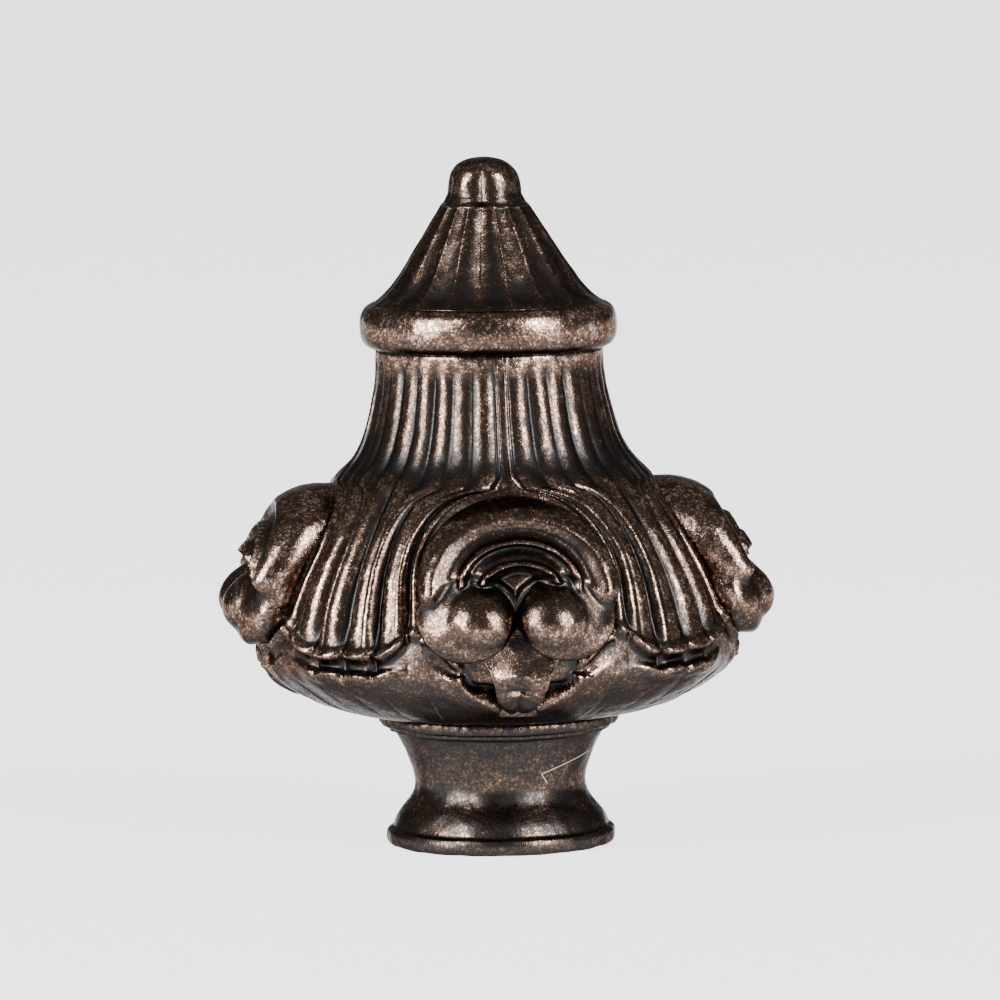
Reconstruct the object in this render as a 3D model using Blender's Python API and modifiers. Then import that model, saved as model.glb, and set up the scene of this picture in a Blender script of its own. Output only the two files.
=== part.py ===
"""Small cast metal lamp finial: a fluted cap and bead over a reeded, waisted body
with four scroll cartouches, on a turned foot with a blind screw socket."""

import math

import bmesh
import bpy

MM = 0.001
TURN = 2.0 * math.pi

# Heights of the turned stages, from the table up
FOOT_LIP_HEIGHT = 1.3 * MM
SCOTIA_HEIGHT = 7.3 * MM
COLLAR_HEIGHT = 1.4 * MM
BOWL_HEIGHT = 4.4 * MM
BELLY_HEIGHT = 13.8 * MM
NECK_HEIGHT = 8.7 * MM
RING_HEIGHT = 3.4 * MM
CONE_HEIGHT = 7.2 * MM
KNOB_HEIGHT = 3.5 * MM

# Radii of the turned stages
FOOT_RADIUS = 8.5 * MM
FOOT_FILLET_RADIUS = 8.05 * MM
WAIST_RADIUS = 6.35 * MM
SCOTIA_TOP_RADIUS = 7.9 * MM
COLLAR_RADIUS = 8.9 * MM
BOWL_FOOT_RADIUS = 9.9 * MM
BELLY_RADIUS = 18.1 * MM
SHOULDER_RADIUS = 11.1 * MM
NECK_RADIUS = 8.45 * MM
RING_RADIUS = 9.56 * MM
RING_ROOT_RADIUS = 8.1 * MM
CONE_FOOT_RADIUS = 8.4 * MM
CONE_TOP_RADIUS = 3.3 * MM
CONE_FLARE = 0.7 * MM
KNOB_RADIUS = 2.9 * MM
KNOB_UNDERCUT = 0.2 * MM

# Carved work
SECTORS = 4
LOBES_PER_PANEL = 10
GAP_COLUMNS = 4
RIDGE_HALF_ANGLE = math.radians(1.0)
RIDGE_SHARE = 0.035
FILLET_SHARE = 0.085
THIN_LOBE_SHARE = 0.36
NECK_REED_DEPTH = 0.4 * MM
GADROON_DEPTH = 0.9 * MM
FLUTE_COUNT = 20
FLUTE_DEPTH = 0.6 * MM
KNOB_LOBES = 6
KNOB_LOBE_DEPTH = 0.3 * MM

# Hem: a rolled lip over a hollow and a ridge, arched up beside each cartouche over a dished lens
LIP_ABOVE_HEM = 1.25 * MM
HOLLOW_ABOVE_HEM = 0.55 * MM
LIP_ROLL = 0.6 * MM
LIP_SCALLOP = 0.45 * MM
HOLLOW_DEPTH = 0.35 * MM
RIDGE_ROLL = 0.3 * MM
ARCH_RISE = 1.9 * MM
ARCH_ANGLE = math.radians(24.0)
LENS_HALF_ANGLE = math.radians(12.5)
LENS_DEPTH = 0.7 * MM
SCOOP_DEPTH = 0.9 * MM

# Scroll cartouche, measured on the belly's surface
CARTOUCHE_HALF_WIDTH = 7.0 * MM
CARTOUCHE_RISE = 6.3 * MM
CARTOUCHE_DROP = 5.2 * MM
CARTOUCHE_BOTTOM_ABOVE_HEM = 1.2 * MM
CARTOUCHE_GAP = 0.4 * MM
OGEE_HALF_WIDTH = 1.6 * MM
PLATE_HEIGHT = 2.05 * MM
PLATE_CROWN = 0.5 * MM
PLATE_EDGE = 1.2 * MM
LIP_HEIGHT = 0.7 * MM
TROUGH_DEPTH = 0.5 * MM
RIB_HEIGHT = 0.5 * MM
RECESS_DEPTH = 1.0 * MM
BALL_HEIGHT = 3.0 * MM
BALL_RADIUS = 2.5 * MM
BALL_SPREAD = 2.55 * MM
BALL_DROP = 1.95 * MM
VOLUTE_SPREAD = 3.55 * MM
VOLUTE_DROP = 2.05 * MM
VOLUTE_HALF_WIDTH = 3.45 * MM
VOLUTE_HALF_HEIGHT = 3.1 * MM
VOLUTE_HEIGHT = 1.45 * MM
VOLUTE_EDGE = 0.75 * MM
NOTCH_DROP = 3.0 * MM
PLATE_ROOT_DEPTH = 1.8 * MM

# Tongue hanging under each cartouche
TONGUE_TOP_HALF_WIDTH = 3.3 * MM
TONGUE_TIP_HALF_WIDTH = 1.3 * MM
TONGUE_ABOVE_HEM = 3.0 * MM
TONGUE_REACH = 3.6 * MM
TONGUE_HEIGHT = 0.2 * MM
TONGUE_DISH = 0.5 * MM
TONGUE_FULLNESS = 0.55

# Blind screw socket in the foot
SOCKET_DIAMETER = 6.0 * MM
SOCKET_DEPTH = 8.0 * MM
SOCKET_CHAMFER = 0.4 * MM
DRILL_POINT_ANGLE = math.radians(118.0)

# Joints between the turned stages, which run into each other
STAGE_OVERLAP = 1.6 * MM
PLUG_INSET = 0.5 * MM
ROOT_INSET = 0.1 * MM

# Number of facets
FOOT_COLUMNS = 34
CARTOUCHE_COLUMNS = 24
TONGUE_COLUMNS = 14

# Heights worked out from the stages
SCOTIA_Z = FOOT_LIP_HEIGHT
COLLAR_Z = SCOTIA_Z + SCOTIA_HEIGHT
BOWL_Z = COLLAR_Z + COLLAR_HEIGHT
HEM_Z = BOWL_Z + BOWL_HEIGHT
SHOULDER_Z = HEM_Z + BELLY_HEIGHT
NECK_TOP_Z = SHOULDER_Z + NECK_HEIGHT
CONE_Z = NECK_TOP_Z + RING_HEIGHT
KNOB_Z = CONE_Z + CONE_HEIGHT
CARTOUCHE_Z = HEM_Z + CARTOUCHE_BOTTOM_ABOVE_HEM + CARTOUCHE_DROP


def clear_scene():
    """Remove every object, so that the file holds only the finial."""
    for item in list(bpy.data.objects):
        bpy.data.objects.remove(item, do_unlink=True)


def blend(low, high, value):
    """Smooth step from 0 at low to 1 at high."""
    share = min(max((value - low) / (high - low), 0.0), 1.0)
    return share * share * (3.0 - 2.0 * share)


def bump(distance):
    """Round bump: 1 at distance 0, 0 from distance 1 outwards."""
    return math.sqrt(max(1.0 - distance * distance, 0.0))


def on_round(angle, radius, height):
    """Point at an angle from the front, counted towards +X."""
    return (radius * math.sin(angle), -radius * math.cos(angle), height)


def steps(count):
    """Shares from 0 to 1 in equal steps."""
    return [index / (count - 1) for index in range(count)]


def knob_profile():
    """Blunt dome with a small undercut rim, as (radius, height) from the top."""
    power = 0.8
    dome_height = KNOB_HEIGHT * 0.9
    rows = []
    for share in steps(5):
        angle = 0.5 * math.pi * share
        radius = KNOB_RADIUS * math.sin(angle) ** power
        rise = dome_height * max(math.cos(angle), 0.0) ** power
        rows.append((radius, KNOB_Z + KNOB_HEIGHT - dome_height + rise))
    rows.append((KNOB_RADIUS - KNOB_UNDERCUT, KNOB_Z + KNOB_UNDERCUT))
    return rows


def cone_profile():
    """Straight taper with a flare at its foot."""
    rows = []
    for share in (0.0, 0.3, 0.6, 0.86, 0.96):
        taper = (CONE_FOOT_RADIUS - CONE_TOP_RADIUS - CONE_FLARE) * share
        radius = CONE_TOP_RADIUS + taper + CONE_FLARE * share ** 8
        rows.append((radius, KNOB_Z - CONE_HEIGHT * share))
    return rows


def ring_profile():
    """Bead of oval section, from the cone's foot down to its root on the neck."""
    power = 0.8
    rows = []
    for share in steps(6)[1:]:
        angle = math.pi * share
        radius = RING_ROOT_RADIUS + (RING_RADIUS - RING_ROOT_RADIUS) * math.sin(angle) ** power
        swing = math.copysign(abs(math.cos(angle)) ** power, math.cos(angle))
        rows.append((radius, CONE_Z - 0.5 * RING_HEIGHT * (1.0 - swing)))
    return rows


def body_radius(height):
    """Outer radius of the neck and belly before they are carved."""
    if height >= SHOULDER_Z:
        share = min((NECK_TOP_Z - height) / NECK_HEIGHT, 1.0)
        share = max(share, 0.0)
        spread = SHOULDER_RADIUS - NECK_RADIUS
        return NECK_RADIUS + spread * (0.68 * share ** 1.6 + 0.32 * share ** 8)
    share = max((height - HEM_Z) / BELLY_HEIGHT, 0.0)
    return BELLY_RADIUS - (BELLY_RADIUS - SHOULDER_RADIUS) * share ** 2.1


def bowl_point(share):
    """Point on the underside, from the hem (0) in to the collar (1)."""
    reach = BELLY_RADIUS - BOWL_FOOT_RADIUS
    across = 1.0 - share
    drop = (1.0 - across ** 1.5) ** (1.0 / 1.5)
    return (BOWL_FOOT_RADIUS + reach * across, HEM_Z - BOWL_HEIGHT * drop)


def body_profile():
    """Neck, belly, hem and bowl, from the part hidden in the bead down to the collar."""
    rows = [(0.0, NECK_TOP_Z + STAGE_OVERLAP), (NECK_RADIUS - PLUG_INSET, NECK_TOP_Z + STAGE_OVERLAP)]
    rows.append((RING_ROOT_RADIUS - ROOT_INSET, NECK_TOP_Z))
    for share in (0.06, 0.3, 0.6, 0.86):
        height = NECK_TOP_Z - NECK_HEIGHT * share
        rows.append((body_radius(height), height))
    lobe_rows = [SHOULDER_Z - BELLY_HEIGHT * share for share in (0.0, 0.12, 0.28, 0.45, 0.62, 0.8)]
    hem_rows = [HEM_Z + above for above in (LIP_ABOVE_HEM + LIP_ROLL, LIP_ABOVE_HEM, HOLLOW_ABOVE_HEM, 0.0)]
    for height in lobe_rows + hem_rows:
        rows.append((body_radius(height), height))
    for share in (0.08, 0.22, 0.5, 1.0):
        rows.append(bowl_point(share))
    rows.append((0.0, BOWL_Z))
    return rows


def scotia_profile():
    """Hollow moulding between the collar and the foot's lip."""
    waist_z = SCOTIA_Z + 0.45 * SCOTIA_HEIGHT
    rows = []
    for share in steps(7):
        height = COLLAR_Z - SCOTIA_HEIGHT * share
        if height >= waist_z:
            reach = (height - waist_z) / (COLLAR_Z - waist_z)
            radius = WAIST_RADIUS + (SCOTIA_TOP_RADIUS - WAIST_RADIUS) * reach ** 1.6
        else:
            reach = (waist_z - height) / (waist_z - SCOTIA_Z)
            radius = WAIST_RADIUS + (FOOT_FILLET_RADIUS - WAIST_RADIUS) * reach ** 1.2
        rows.append((radius, height))
    return rows


def foot_profile():
    """Collar, scotia, foot lip, flat underside and the blind socket up the middle."""
    plug_radius = SCOTIA_TOP_RADIUS + 0.4 * (COLLAR_RADIUS - SCOTIA_TOP_RADIUS)
    socket_radius = 0.5 * SOCKET_DIAMETER
    rows = [(0.0, BOWL_Z + STAGE_OVERLAP), (plug_radius, BOWL_Z + STAGE_OVERLAP)]
    for across, up in ((0.4, 0.95), (0.9, 0.8), (1.0, 0.5), (0.5, 0.25), (0.35, 0.04)):
        radius = SCOTIA_TOP_RADIUS + (COLLAR_RADIUS - SCOTIA_TOP_RADIUS) * across
        rows.append((radius, COLLAR_Z + COLLAR_HEIGHT * up))
    rows.extend(scotia_profile())
    for across, up in ((0.7, 0.8), (1.0, 0.5), (0.9, 0.15), (0.5, 0.0)):
        radius = FOOT_FILLET_RADIUS + (FOOT_RADIUS - FOOT_FILLET_RADIUS) * across
        rows.append((radius, FOOT_LIP_HEIGHT * up))
    rows.append((socket_radius + SOCKET_CHAMFER, 0.0))
    rows.append((socket_radius, SOCKET_CHAMFER))
    rows.append((socket_radius, SOCKET_DEPTH))
    rows.append((0.0, SOCKET_DEPTH + socket_radius / math.tan(0.5 * DRILL_POINT_ANGLE)))
    return rows


def turned_mesh(name, profile, columns):
    """Turn a profile about the axis and return its closed mesh."""
    mesh = bpy.data.meshes.new(name + "_profile")
    points = [(radius, 0.0, height) for radius, height in profile]
    mesh.from_pydata(points, [(index, index + 1) for index in range(len(points) - 1)], [])
    turned = bpy.data.objects.new(name + "_profile", mesh)
    bpy.context.scene.collection.objects.link(turned)
    screw = turned.modifiers.new("turn", "SCREW")
    screw.axis = "Z"
    screw.angle = TURN
    screw.steps = columns
    screw.render_steps = columns
    graph = bpy.context.evaluated_depsgraph_get()
    result = bpy.data.meshes.new_from_object(turned.evaluated_get(graph))
    bpy.data.objects.remove(turned, do_unlink=True)
    result.name = name
    return result


def reshape(mesh, place):
    """Move every corner of a turned mesh by place(angle, radius, height), then close its poles."""
    cage = bmesh.new()
    cage.from_mesh(mesh)
    for corner in cage.verts:
        x, y, z = corner.co
        corner.co = place(math.atan2(x, -y) % TURN, math.hypot(x, y), z)
    bmesh.ops.remove_doubles(cage, verts=cage.verts, dist=0.001 * MM)
    bmesh.ops.recalc_face_normals(cage, faces=cage.faces)
    cage.to_mesh(mesh)
    cage.free()
    mesh.shade_smooth()
    mesh.set_sharp_from_angle(angle=math.radians(50.0))


def cartouche_half_angle(height):
    """Half angle of the gap that the panels leave for a cartouche at a height."""
    above = height - CARTOUCHE_Z
    rise = CARTOUCHE_RISE + CARTOUCHE_GAP
    level = min(max(above / rise, 0.0), 1.0)
    half = (CARTOUCHE_HALF_WIDTH + CARTOUCHE_GAP) * math.sqrt(1.0 - level * level)
    taper = OGEE_HALF_WIDTH * (1.0 - blend(CARTOUCHE_Z + 0.8 * rise, CARTOUCHE_Z + 1.6 * rise, height))
    return max(RIDGE_HALF_ANGLE, max(half, taper) / body_radius(height))


def body_columns():
    """Columns of one sector: those of its lobes and those of the gap at a cartouche."""
    return 2 * LOBES_PER_PANEL + GAP_COLUMNS


def lobe_edges(opened):
    """Shares of a panel's width at which its grooves lie, on the neck (opened 0) or on the belly (1)."""
    even = (1.0 - 2.0 * RIDGE_SHARE) / (LOBES_PER_PANEL - 2)
    pair = (1.0 - 2.0 * FILLET_SHARE) / (LOBES_PER_PANEL // 2 - 1)
    edges = []
    for index in range(LOBES_PER_PANEL // 2 + 1):
        on_neck = RIDGE_SHARE + even * (index - 1) if index else 0.0
        thin = THIN_LOBE_SHARE if index % 2 == 0 else 0.0
        on_belly = FILLET_SHARE + pair * ((index - 1) // 2 + thin) if index else 0.0
        edges.append(on_neck + (on_belly - on_neck) * opened)
    mirrored = [1.0 - share for share in reversed(edges[:-1])]
    return edges[:-1] + [0.5] + mirrored


def groove_depth(column, belly):
    """Share of the full depth at a panel's column: 0 on a crest, shallow between a lobe and its thin one."""
    if column % 2:
        return 0.0
    edge = column // 2
    if edge in (0, LOBES_PER_PANEL):
        return 0.6 + 0.3 * belly
    return 1.0 if edge % 2 else 1.0 - 0.75 * belly


def beside_cartouche(angle):
    """Angle of a place from the middle of the nearest cartouche."""
    sector = TURN / SECTORS
    return abs((angle + 0.5 * sector) % sector - 0.5 * sector)


def hem_place(angle, radius, height, crest):
    """Roll the hem's lip, sink the hollow and the lens under it, and arch it up beside a cartouche."""
    above = height - HEM_Z if height > HEM_Z else radius - BELLY_RADIUS
    beside = beside_cartouche(angle)
    arch = ARCH_RISE * (1.0 - blend(ARCH_ANGLE, 1.5 * ARCH_ANGLE, beside))
    arch *= blend(0.4 * ARCH_ANGLE, 0.8 * ARCH_ANGLE, beside)
    follow = blend(-LIP_ROLL, LIP_ABOVE_HEM, above)
    follow *= 1.0 - blend(2.0 * LIP_ABOVE_HEM, 5.0 * LIP_ABOVE_HEM, above)
    raised = (arch + LIP_SCALLOP * (0.5 - crest)) * follow
    swell = LIP_ROLL * (0.5 + 0.5 * crest) * bump((above - LIP_ABOVE_HEM) / (0.5 * LIP_ABOVE_HEM))
    lens = bump((beside - ARCH_ANGLE) / LENS_HALF_ANGLE)
    lens *= 1.0 - blend(0.5 * LIP_ABOVE_HEM, LIP_ABOVE_HEM, above)
    lens *= blend(-BOWL_HEIGHT, -0.4 * BOWL_HEIGHT, above)
    hollow = HOLLOW_DEPTH * bump((above - HOLLOW_ABOVE_HEM) / (0.8 * HOLLOW_ABOVE_HEM))
    ridge = RIDGE_ROLL * (0.4 + 0.6 * crest) * bump(above / (0.8 * HOLLOW_ABOVE_HEM))
    if raised > 0.0 or above > 0.0:
        radius += body_radius(height + raised) - body_radius(height)
    return (radius + swell + (ridge - hollow) * (1.0 - lens) - LENS_DEPTH * lens, height + raised)


def carve_gap(angle, offset, radius, height):
    """Ridge down the neck, and the ground behind a cartouche, scooped out beside its tongue."""
    crest = blend(SHOULDER_Z - 0.1 * BELLY_HEIGHT, SHOULDER_Z + 0.2 * NECK_HEIGHT, height)
    above = height - HEM_Z if height > HEM_Z else radius - BELLY_RADIUS
    low = blend(-1.1 * BOWL_HEIGHT, -0.5 * BOWL_HEIGHT, above) * (1.0 - blend(0.0, LIP_ABOVE_HEM, above))
    middle = bump(min(abs(offset) / (0.7 * ARCH_ANGLE), 1.0))
    placed, lifted = hem_place(angle, radius, height, 1.0)
    placed += (radius - placed) * middle
    lifted += (height - lifted) * middle
    return on_round(angle, placed - 0.2 * NECK_REED_DEPTH * crest - SCOOP_DEPTH * low * middle, lifted)


def carve_panel(angle, column, radius, height):
    """Reeds on the neck that gather into gadroons and end in a scalloped, rolled hem."""
    belly = 1.0 - blend(CARTOUCHE_Z, SHOULDER_Z, height)
    groove = groove_depth(column, belly)
    depth = NECK_REED_DEPTH + (GADROON_DEPTH - NECK_REED_DEPTH) * belly
    depth *= 1.0 - blend(NECK_TOP_Z - 0.3 * NECK_HEIGHT, NECK_TOP_Z, height)
    depth *= 0.45 + 0.55 * blend(LIP_ABOVE_HEM, 2.5 * LIP_ABOVE_HEM, height - HEM_Z)
    depth *= blend(HEM_Z - 0.2 * BOWL_HEIGHT, HEM_Z, height)
    if height > SHOULDER_Z - 0.3 * BELLY_HEIGHT:
        return on_round(angle, radius - depth * groove, height)
    placed, lifted = hem_place(angle, radius, height, 1.0 - groove)
    return on_round(angle, placed - depth * groove, lifted)


def carve_body(angle, radius, height):
    """Reeded panels with a gap at each cartouche, counted by column from a cartouche's middle."""
    columns = body_columns()
    index = round(angle / TURN * columns * SECTORS)
    sector, column = divmod(index + GAP_COLUMNS // 2, columns)
    centre = TURN / SECTORS * sector
    if radius < RING_ROOT_RADIUS * 0.9 or height >= NECK_TOP_Z:
        return on_round(angle, radius, height)
    gap = cartouche_half_angle(height)
    if 0 < column < GAP_COLUMNS:
        offset = gap * (2.0 * column / GAP_COLUMNS - 1.0)
        return carve_gap(centre + offset, offset, radius, height)
    if column == 0:
        return carve_panel(centre - gap, 0, radius, height)
    widest = (CARTOUCHE_HALF_WIDTH + CARTOUCHE_GAP) / BELLY_RADIUS
    opened = blend(0.0, 1.0, (gap - RIDGE_HALF_ANGLE) / (widest - RIDGE_HALF_ANGLE))
    edges = lobe_edges(opened)
    across = column - GAP_COLUMNS
    share = 0.5 * (edges[across // 2] + edges[(across + 1) // 2])
    return carve_panel(centre + gap + (TURN / SECTORS - 2.0 * gap) * share, across, radius, height)


def carve_cap(angle, radius, height):
    """Lobes on the knob and hollow flutes with sharp edges on the cone."""
    if height >= KNOB_Z:
        amount = blend(KNOB_Z + 0.98 * KNOB_HEIGHT, KNOB_Z + 0.6 * KNOB_HEIGHT, height)
        lobe = abs(math.cos(0.5 * KNOB_LOBES * angle))
        return on_round(angle, radius - KNOB_LOBE_DEPTH * amount * (1.0 - lobe), height)
    if height > CONE_Z + 0.01 * CONE_HEIGHT:
        flute = round(angle / TURN * FLUTE_COUNT * 2) % 2
        share = (height - CONE_Z) / CONE_HEIGHT
        amount = blend(-0.02, 0.14, share) * (1.0 - 0.4 * share)
        return on_round(angle, radius - FLUTE_DEPTH * amount * (1 - flute), height)
    return on_round(angle, radius, height)


def oval_edge(right, up, middle, half_width, half_height):
    """Distance from the plate's middle to the far side of an oval in a direction, or 0 if it is missed."""
    square = (right / half_width) ** 2 + (up / half_height) ** 2
    along = right * middle[0] / half_width ** 2 + up * middle[1] / half_height ** 2
    rest = (middle[0] / half_width) ** 2 + (middle[1] / half_height) ** 2 - 1.0
    under = along * along - square * rest
    return (along + math.sqrt(under)) / square if under > 0.0 else 0.0


def cartouche_edge(angle):
    """Distance of the plate's edge from its middle: an arch above, two volutes and a notch below."""
    right, up = math.sin(angle), math.cos(angle)
    reach = oval_edge(right, up, (0.0, 0.0), CARTOUCHE_HALF_WIDTH, CARTOUCHE_RISE) if up > -0.05 else 0.0
    reach = max(reach, NOTCH_DROP)
    for side in (-VOLUTE_SPREAD, VOLUTE_SPREAD):
        volute = oval_edge(right, up, (side, -VOLUTE_DROP), VOLUTE_HALF_WIDTH, VOLUTE_HALF_HEIGHT)
        reach = max(reach, volute)
    return reach


def arch_relief(across, up):
    """Height of the arched upper part: a low dome with a lip, a trough and two ribs round a sunk middle."""
    reach = math.hypot(across / CARTOUCHE_HALF_WIDTH, up / CARTOUCHE_RISE)
    crown = PLATE_CROWN * (1.0 - reach * reach)
    lip = LIP_HEIGHT * bump((reach - 0.89) / 0.14)
    trough = TROUGH_DEPTH * bump((reach - 0.75) / 0.12)
    rib = RIB_HEIGHT * (bump((reach - 0.60) / 0.07) + bump((reach - 0.37) / 0.06))
    recess = RECESS_DEPTH * bump(reach / 0.34)
    lowered = 1.0 - 0.75 * blend(0.0, 0.5 * CARTOUCHE_DROP, -up)
    return (PLATE_HEIGHT + crown + lip + rib - trough - recess) * lowered


def volute_relief(across, up):
    """Height of the volutes: a ball beside the notch, on a wide rounded curl."""
    side = abs(across)
    ball = BALL_HEIGHT * bump(math.hypot(side - BALL_SPREAD, up + BALL_DROP) / BALL_RADIUS)
    curl_out = (side - VOLUTE_SPREAD) / VOLUTE_HALF_WIDTH
    curl_up = (up + VOLUTE_DROP) / VOLUTE_HALF_HEIGHT
    curl = math.hypot(curl_out, curl_up)
    return max(ball, VOLUTE_EDGE + VOLUTE_HEIGHT * bump(curl) if curl < 1.01 else 0.0)


def cartouche_profile():
    """Rings of the plate from its middle out to the edge, and its root inside the belly."""
    front = [(reach, 1.0) for reach in (0.0, 0.30, 0.37, 0.46, 0.60, 0.68, 0.76, 0.85, 0.93)]
    return front + [(1.0, 0.5), (0.99, 0.0), (0.0, -1.0)]


def carve_cartouche(sector):
    """Give a function that wraps the plate's rings on the belly at a sector's middle."""
    centre = TURN / SECTORS * sector

    def place(angle, reach, level):
        distance = cartouche_edge(angle) * reach
        across = distance * math.sin(angle)
        up = distance * math.cos(angle)
        height = CARTOUCHE_Z + up
        surface = body_radius(height)
        if level > 0.6:
            surface += max(arch_relief(across, up), volute_relief(across, up))
        elif level > 0.1:
            surface += PLATE_EDGE + (VOLUTE_EDGE - PLATE_EDGE) * blend(0.0, 0.2 * CARTOUCHE_DROP, -up)
        elif level > -0.5:
            surface -= 0.5 * PLATE_ROOT_DEPTH
        else:
            surface -= 2.0 * PLATE_ROOT_DEPTH
        return on_round(centre + across / body_radius(height), surface, height)

    return place


def under_path(distance):
    """Place under a cartouche, at a distance down over the hem and in along the bowl."""
    if distance < TONGUE_ABOVE_HEM:
        height = HEM_Z + TONGUE_ABOVE_HEM - distance
        return (body_radius(height), height)
    return bowl_point((distance - TONGUE_ABOVE_HEM) / (BELLY_RADIUS - BOWL_FOOT_RADIUS))


def tongue_profile():
    """Rings of the tongue from its middle out to its edge, and its root in the bowl."""
    return [(0.0, 1.0), (0.5, 1.0), (0.85, 1.0), (1.0, 0.5), (0.9, -1.0), (0.0, -1.0)]


def carve_tongue(sector):
    """Give a function that wraps the tongue under the hem and down the bowl."""
    centre = TURN / SECTORS * sector

    def place(angle, reach, level):
        rising = math.copysign(abs(math.cos(angle)) ** TONGUE_FULLNESS, math.cos(angle))
        side = math.copysign(abs(math.sin(angle)) ** TONGUE_FULLNESS, math.sin(angle))
        along = 0.5 - 0.5 * reach * rising
        narrowed = (TONGUE_TOP_HALF_WIDTH - TONGUE_TIP_HALF_WIDTH) * blend(0.15, 0.75, along)
        half = TONGUE_TOP_HALF_WIDTH - narrowed
        across = half * reach * side
        radius, height = under_path(along * (TONGUE_ABOVE_HEM + TONGUE_REACH))
        rise = TONGUE_HEIGHT - TONGUE_DISH * (1.0 - blend(0.3, 0.9, abs(reach * side)))
        if level < 0.6:
            rise = 0.0 if level > 0.0 else -PLATE_ROOT_DEPTH
        lean = 0.5 * math.pi * 0.6 * along
        out, down = rise * math.cos(lean), rise * math.sin(lean)
        return on_round(centre + across / radius, radius + out, height - down)

    return place


def bronze():
    """Dark oil-rubbed bronze over cast metal."""
    material = bpy.data.materials.new("antique_bronze")
    material.use_nodes = True
    shader = material.node_tree.nodes["Principled BSDF"]
    shader.inputs["Base Color"].default_value = (0.13, 0.078, 0.055, 1.0)
    shader.inputs["Metallic"].default_value = 0.9
    shader.inputs["Roughness"].default_value = 0.36
    return material


def add_object(name, mesh, collection, material):
    """Put a finished mesh in a collection with its material."""
    mesh.materials.clear()
    mesh.materials.append(material)
    item = bpy.data.objects.new(name, mesh)
    collection.objects.link(item)
    return item


def build():
    """Carve the stages and join them to one casting."""
    clear_scene()
    parts = bpy.data.collections.new("cast_lamp_finial")
    joined = bpy.data.collections.new("cutters")
    bpy.context.scene.collection.children.link(parts)
    bpy.context.scene.collection.children.link(joined)
    metal = bronze()

    body = turned_mesh("finial", body_profile(), SECTORS * body_columns())
    reshape(body, carve_body)
    finial = add_object("finial", body, parts, metal)

    plug = RING_ROOT_RADIUS - PLUG_INSET
    cap_rows = knob_profile() + cone_profile() + ring_profile()
    cap_rows += [(plug, NECK_TOP_Z - 0.5 * ROOT_INSET), (0.0, NECK_TOP_Z - STAGE_OVERLAP)]
    cap = turned_mesh("fluted_cap", cap_rows, FLUTE_COUNT * 2)
    reshape(cap, carve_cap)
    add_object("fluted_cap", cap, joined, metal)

    foot = turned_mesh("turned_foot", foot_profile(), FOOT_COLUMNS)
    reshape(foot, on_round)
    add_object("turned_foot", foot, joined, metal)

    for sector in range(SECTORS):
        plate = turned_mesh("cartouche", cartouche_profile(), CARTOUCHE_COLUMNS)
        reshape(plate, carve_cartouche(sector))
        add_object(f"cartouche_{sector + 1}", plate, joined, metal)
        tongue = turned_mesh("tongue", tongue_profile(), TONGUE_COLUMNS)
        reshape(tongue, carve_tongue(sector))
        add_object(f"tongue_{sector + 1}", tongue, joined, metal)

    for item in joined.objects:
        item.hide_render = True
        item.display_type = "WIRE"
    union = finial.modifiers.new("join", "BOOLEAN")
    union.operation = "UNION"
    union.solver = "EXACT"
    union.operand_type = "COLLECTION"
    union.collection = joined


build()
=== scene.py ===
"""Cast lamp finial in oil-rubbed bronze: its fine relief, its finish and the studio round it."""

import logging
import math
from dataclasses import dataclass
from enum import Enum
from typing import Any

import bpy
import numpy as np
from mathutils import Matrix, Vector


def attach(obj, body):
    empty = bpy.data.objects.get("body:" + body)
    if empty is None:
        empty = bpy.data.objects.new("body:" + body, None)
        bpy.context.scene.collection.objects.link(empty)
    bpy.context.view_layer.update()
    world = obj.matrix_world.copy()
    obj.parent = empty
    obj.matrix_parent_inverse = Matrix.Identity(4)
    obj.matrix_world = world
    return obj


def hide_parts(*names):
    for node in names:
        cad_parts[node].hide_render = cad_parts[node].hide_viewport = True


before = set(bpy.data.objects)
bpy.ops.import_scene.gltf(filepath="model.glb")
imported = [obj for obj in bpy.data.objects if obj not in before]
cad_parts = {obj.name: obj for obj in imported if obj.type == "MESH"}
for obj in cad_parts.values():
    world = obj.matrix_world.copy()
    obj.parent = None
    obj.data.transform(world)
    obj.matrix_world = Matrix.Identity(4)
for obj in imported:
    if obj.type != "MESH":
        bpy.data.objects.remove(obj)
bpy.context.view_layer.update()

MM = 0.001
TURN = 2.0 * math.pi
NODE = "finial"
BODY = "root"
SECTORS = 4
QUARTER = TURN / SECTORS
LID_ROWS = 6
WHITE = (1.0, 1.0, 1.0, 1.0)
LOG = logging.getLogger("finial")
Array = np.ndarray


def ease(low: float, high: float, value: Array) -> Array:
    """Smooth step: t squared times (3 - 2t), with t the clipped share of the way from low to high.

    Args:
        low: Value at which the step is 0.
        high: Value at which the step is 1.
        value: Values to step.

    Returns:
        Shares from 0 to 1.
    """
    share = np.clip((np.asarray(value) - low) / (high - low), 0.0, 1.0)
    return share * share * (3.0 - 2.0 * share)


def dome(distance: Array) -> Array:
    """Half circle over -1 to 1: the root of 1 - distance squared, and 0 outside."""
    return np.sqrt(np.clip(1.0 - np.asarray(distance) ** 2, 0.0, None))


def swell(distance: Array) -> Array:
    """Soft bell: (1 - distance squared) squared over -1 to 1, and 0 outside."""
    return np.clip(1.0 - np.asarray(distance) ** 2, 0.0, None) ** 2


def mix(first: Array, second: Array, share: Array) -> Array:
    """Straight blend from first (share 0) to second (share 1)."""
    return first + (second - first) * share


def signed_power(value: Array, power: float) -> Array:
    """Power of the size of a value, with the value's sign."""
    return np.sign(value) * np.abs(value) ** power


class Crowding(Enum):
    """Where the rows of a stretch of profile are packed closest."""

    EVEN = "even"
    ENDS = "ends"
    END = "end"


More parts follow.
